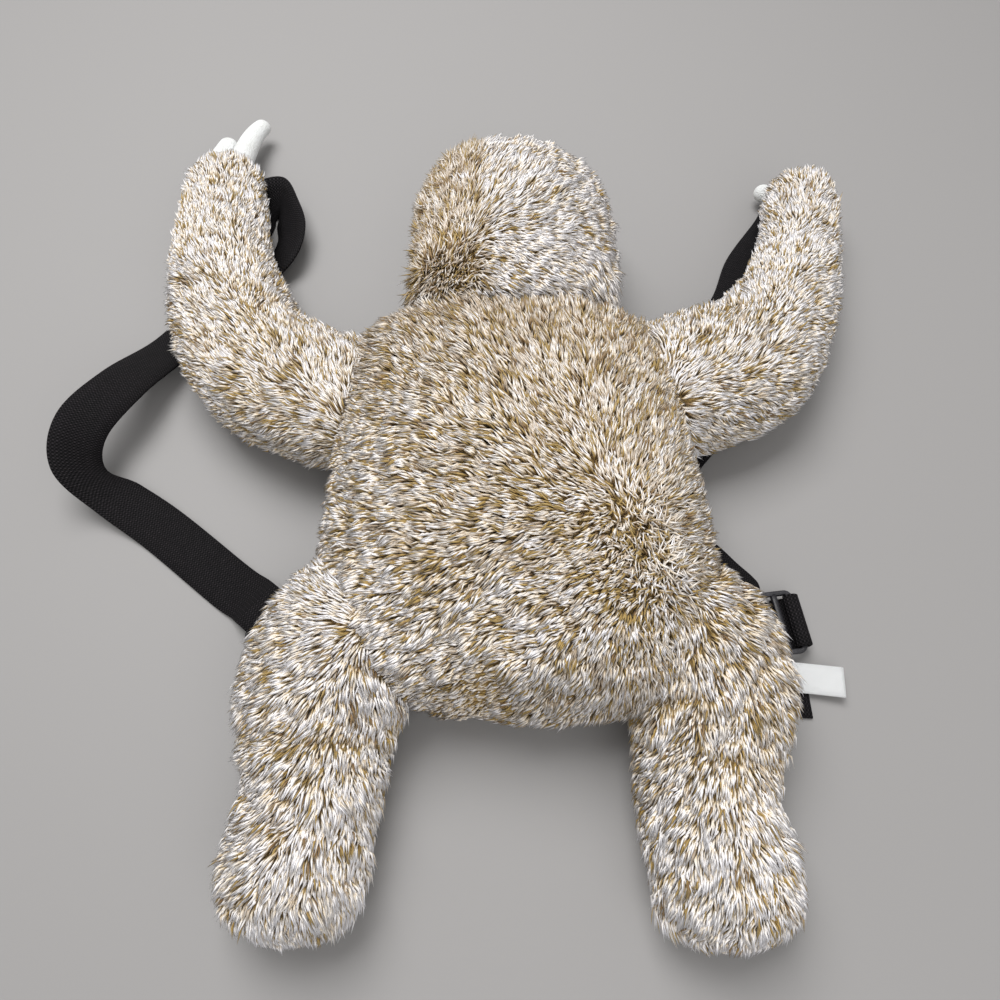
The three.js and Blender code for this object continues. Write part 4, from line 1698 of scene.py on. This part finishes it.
@dataclass
class Straps:
    """The webbing, its sliders and the sewn label."""

    right: Slider
    left: Slider
    strap_left: tuple[Row, ...] = (
        (-64, 163, 5, 80, 0), (-100, 170, 1, 72, 0), (-136, 196, 1, 40, 0), (-156, 238, 1, 14, 0),
        (-164, 284, 1, 4, 0), (-163, 311, 2, -4, -4), (-157.5, 324, 8, -44, -38),
        (-146, 328.5, 10, -103, -47), (-140.5, 315, 9.5, -149, -44), (-136, 299, 9, -175, -36),
        (-139, 281, 8, -214, -26), (-155, 268, 3, -234, -8), (-174, 250, 1.8, -218, 0),
        (-193, 214, 6, -202, 0), (-206, 176, 24, -202, 14), (-218, 146, 29, -192, 34),
        (-219, 126, 20, -158, 36), (-203, 116, 7, -132, 12), (-178, 100, 1.2, -128, 0),
        (-140, 71, 1, -128, 0),
    )
    strap_right: tuple[Row, ...] = (
        (58, 170, 5, 130, 0), (94, 204, 1, 134, 0), (129, 241, 1, 144, 0), (146, 278, 1, 150, 0),
        (168, 310, 1, 152, 0), (173, 319, 1.2, 152, 0), (174, 321, 2.4, 152, 0),
        (173, 319, 3.6, 152, 0), (171, 305, 3.8, 158, 0), (166, 262, 3.8, 158, 0),
        (148, 218, 2, 148, 0), (117, 173, 1, 142, 0), (86, 136, 1, 148, 0), (81, 107, 1, 182, 0),
        (98.5, 78, 4, 213, 0), (110.5, 61.5, 8.8, 238, 0), (117, 55, 9.7, 260, 0),
    )
    tail: tuple[Row, ...] = (
        (78, 23, 10, 90, 0), (104, 21, 1.8, 90, 0), (120, 20, 1, 90, 0), (137, 19, 1, 90, 0),
    )
    label: tuple[Row, ...] = (
        (92, 28, 10, 84, 0), (116, 26, 4.2, 84, 0), (134, 24.5, 3.5, 84, 0), (153, 22, 5.2, 84, 0),
    )
    label_width: float = 14.0
    label_thick: float = 1.0
    left_climb: tuple[Range, ...] = ((14, 2.6), (7, 6.6))
    hip_left: tuple[Row, ...] = ((-68, 16, 12), (-84, 28, 8.5))
    hip_right: tuple[Row, ...] = ((82, 44.4, 1), (115, 48.4, 1), (129, 50.1, 2.4))
    hip_right_end: float = 165.0

    def bands(self) -> dict[str, Band]:
        """Every band by the name of the node that it stands for.

        Returns:
            The bands, each with its whole route.
        """
        left, right = self.left, self.right
        left_front, left_back = left.along_bars(-1), left.along_bars(1)
        right_front, right_back = right.along_bars(1), right.along_bars()
        climb = [left.beside(-left.bar - before, z, left_front) for before, z in self.left_climb]
        strap_left = [*self.strap_left, *climb, *left.thread(-left.bar, OVER, UNDER, left_front)]
        strap_right = [*self.strap_right, *right.thread(-right.bar, OVER, UNDER, right_front)]
        hip_left = [(*row, left_back, 0.0) for row in self.hip_left]
        hip_left += left.thread(left.bar, OVER, UNDER_AGAIN, left_back)
        hip_right = [(*row, right_back, 0.0) for row in self.hip_right]
        hip_right += right.wrap(right.bar, UNDER, self.hip_right_end, right_back)
        return {
            "strap_left": Band("strap_left_webbing", strap_left),
            "strap_right": Band("strap_right_webbing", strap_right),
            "hip_tab_left": Band("hip_tab_left_webbing", hip_left),
            "hip_tab_right": Band("hip_tab_right_webbing", hip_right),
            "strap_tail_right": Band("strap_tail_right_webbing", list(self.tail)),
            "care_label": Band("care_label_tape", list(self.label), self.label_width, self.label_thick),
        }

    def build(self) -> None:
        """Makes the bands and sliders and dresses them."""
        webbing = WebbingFinish().material()
        tape = LABEL_FINISH.material()
        for node, band in self.bands().items():
            piece = band.build()
            is_label = node == "care_label"
            dress(piece, tape if is_label else webbing, Slot.LABEL if is_label else Slot.WEBBING, node)
        plastic = PlasticFinish().material()
        for slider in (self.left, self.right):
            dress(slider.build(), plastic, Slot.SLIDER, slider.name)

    def room(self) -> list[bpy.types.Object]:
        """Closed shapes a gap larger than the bands, to cut out of the skins over them.

        Returns:
            One shape for each band.
        """
        made = []
        for node, band in self.bands().items():
            band.name = f"{node}_room"
            made.append(band.build(GAP))
        return made


@dataclass
class Animal:
    """The whole plush animal: torso, head, limbs and claws."""

    straps: Straps

    def parts(self) -> list[PlushPart]:
        """The furred pieces.

        Returns:
            The torso, the head and the limbs.
        """
        smooth = Pile(draws=SMOOTH_PILE_DRAWS)
        torso = Torso("torso", TORSO_FORM, fur_pieces=2, columns=TORSO_COLUMNS)
        head = Head("head", HEAD_FORM, smooth)
        limbs = []
        for name, form in LIMB_FORMS.items():
            limbs.append(Limb(name, form, smooth, columns=LIMB_COLUMNS, **LIMB_FUR[name]))
        return [torso, head, *limbs]

    def build(self) -> None:
        """Makes the skins, cuts each to its neighbours, grows the fur and adds the claws."""
        fur = FurFinish().material()
        backing = SkinFinish().material()
        room = self.straps.room()
        body_shell = TORSO_FORM.shell(BACKING + GAP, GAP, SKIN_SPACING, TORSO_COLUMNS)
        body_room = make_object("torso_room", *body_shell)
        claw_room = {}
        for name, form in CLAW_FORMS.items():
            claw_room[name] = make_object(f"{name}_room", *form.shell(GAP, GAP, *CLAW_ROOM_MESH))
        helpers = [*room, body_room, *claw_room.values()]
        for k, part in enumerate(self.parts()):
            skin = part.skin()
            if isinstance(part, Torso):
                inner = [part.pocket(), part.slit()]
                helpers += inner
                carve(skin, [*inner, *room])
            else:
                claws = [claw_room[claw] for claw in HAND_CLAWS.get(part.name, ())]
                carve(skin, [body_room, *claws, *room])
            dress(skin, backing, Slot.PLUSH, part.name)
            part.grow_fur(fur, SEED + SEED_STEP * k)
        for helper in helpers:
            bpy.data.objects.remove(helper)
        felt = FeltFinish().material()
        for name, form in CLAW_FORMS.items():
            claw = make_object(f"{name}_felt", *form.shell(0.0, 0.0, *CLAW_MESH))
            dress(claw, felt, Slot.FELT, name)


@dataclass(frozen=True)
class Stage:
    """Floor, light and camera."""

    floor_side: float = 8.0
    floor: Colour = (144, 142, 141)
    camera: Row = (0.009911, -0.205502, 0.345)
    pitch: float = 64.0
    lens: float = 26.28
    sensor: float = 36.0
    near: float = 0.01
    sky: float = 0.42
    key_place: Row = (-0.25, 0.5, 1.3)
    key_size: float = 0.9
    key_power: float = 22.0
    fill_place: Row = (0.35, -1.0, 1.0)
    fill_size: float = 1.4
    fill_power: float = 8.0

    def build(self) -> None:
        """Makes the floor, the lights and the camera at the photo's angle."""
        half = 0.5 * self.floor_side / MM
        corners = np.array([(-half, -half, 0), (half, -half, 0), (half, half, 0), (-half, half, 0)])
        floor = make_object("floor", corners - PLACE, np.array([(0, 1, 2), (0, 2, 3)]))
        nodes = Nodes("pale_floor")
        nodes.set(Roughness=0.6)
        nodes.shader.inputs["Base Color"].default_value = linear(self.floor)
        floor.data.materials.append(nodes.material)
        self.light("key", self.key_place, self.key_size, self.key_power)
        self.light("fill", self.fill_place, self.fill_size, self.fill_power)
        world = bpy.data.worlds.new("studio")
        world.use_nodes = True
        sky = world.node_tree.nodes["Background"]
        sky.inputs["Color"].default_value = linear((255, 255, 255))
        sky.inputs["Strength"].default_value = self.sky
        scene = bpy.context.scene
        scene.world = world
        scene.view_settings.view_transform = "Standard"
        data = bpy.data.cameras.new("photo_camera")
        data.lens = self.lens
        data.sensor_width = self.sensor
        data.clip_start = self.near
        camera = bpy.data.objects.new("photo_camera", data)
        camera.location = self.camera
        camera.rotation_euler = (math.radians(90.0 - self.pitch), 0.0, 0.0)
        scene.collection.objects.link(camera)
        scene.camera = camera

    def light(self, name: str, place: Row, size: float, power: float) -> None:
        """Adds a square area light that points at the object's middle.

        Args:
            name: Name of the light.
            place: Its place in metres.
            size: Its side in metres.
            power: Its power in watts.
        """
        data = bpy.data.lights.new(name, "AREA")
        data.size = size
        data.energy = power
        lamp = bpy.data.objects.new(name, data)
        lamp.location = place
        back = lamp.location.normalized()
        lamp.rotation_euler = back.to_track_quat("Z", "Y").to_euler()
        bpy.context.scene.collection.objects.link(lamp)


def clear_scene() -> None:
    """Removes what a new Blender file starts with."""
    for old in list(bpy.data.objects):
        bpy.data.objects.remove(old)


def main() -> None:
    """Builds the dressed object and its stage."""
    logging.basicConfig(level=logging.INFO, format="%(name)s: %(message)s")
    clear_scene()
    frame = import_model()
    Stage().build()
    straps = Straps(
        right=Slider("slider_right", 128, 50, 6.4, 7),
        left=Slider("slider_left", -112, 50, 4.5, -39),
    )
    straps.build()
    Animal(straps).build()
    zip_tape = frame["nodes"]["zip_closure"]
    zip_tape.data.materials.clear()
    zip_tape.data.materials.append(ZIP_FINISH.material())


if __name__ == "__main__":
    main()
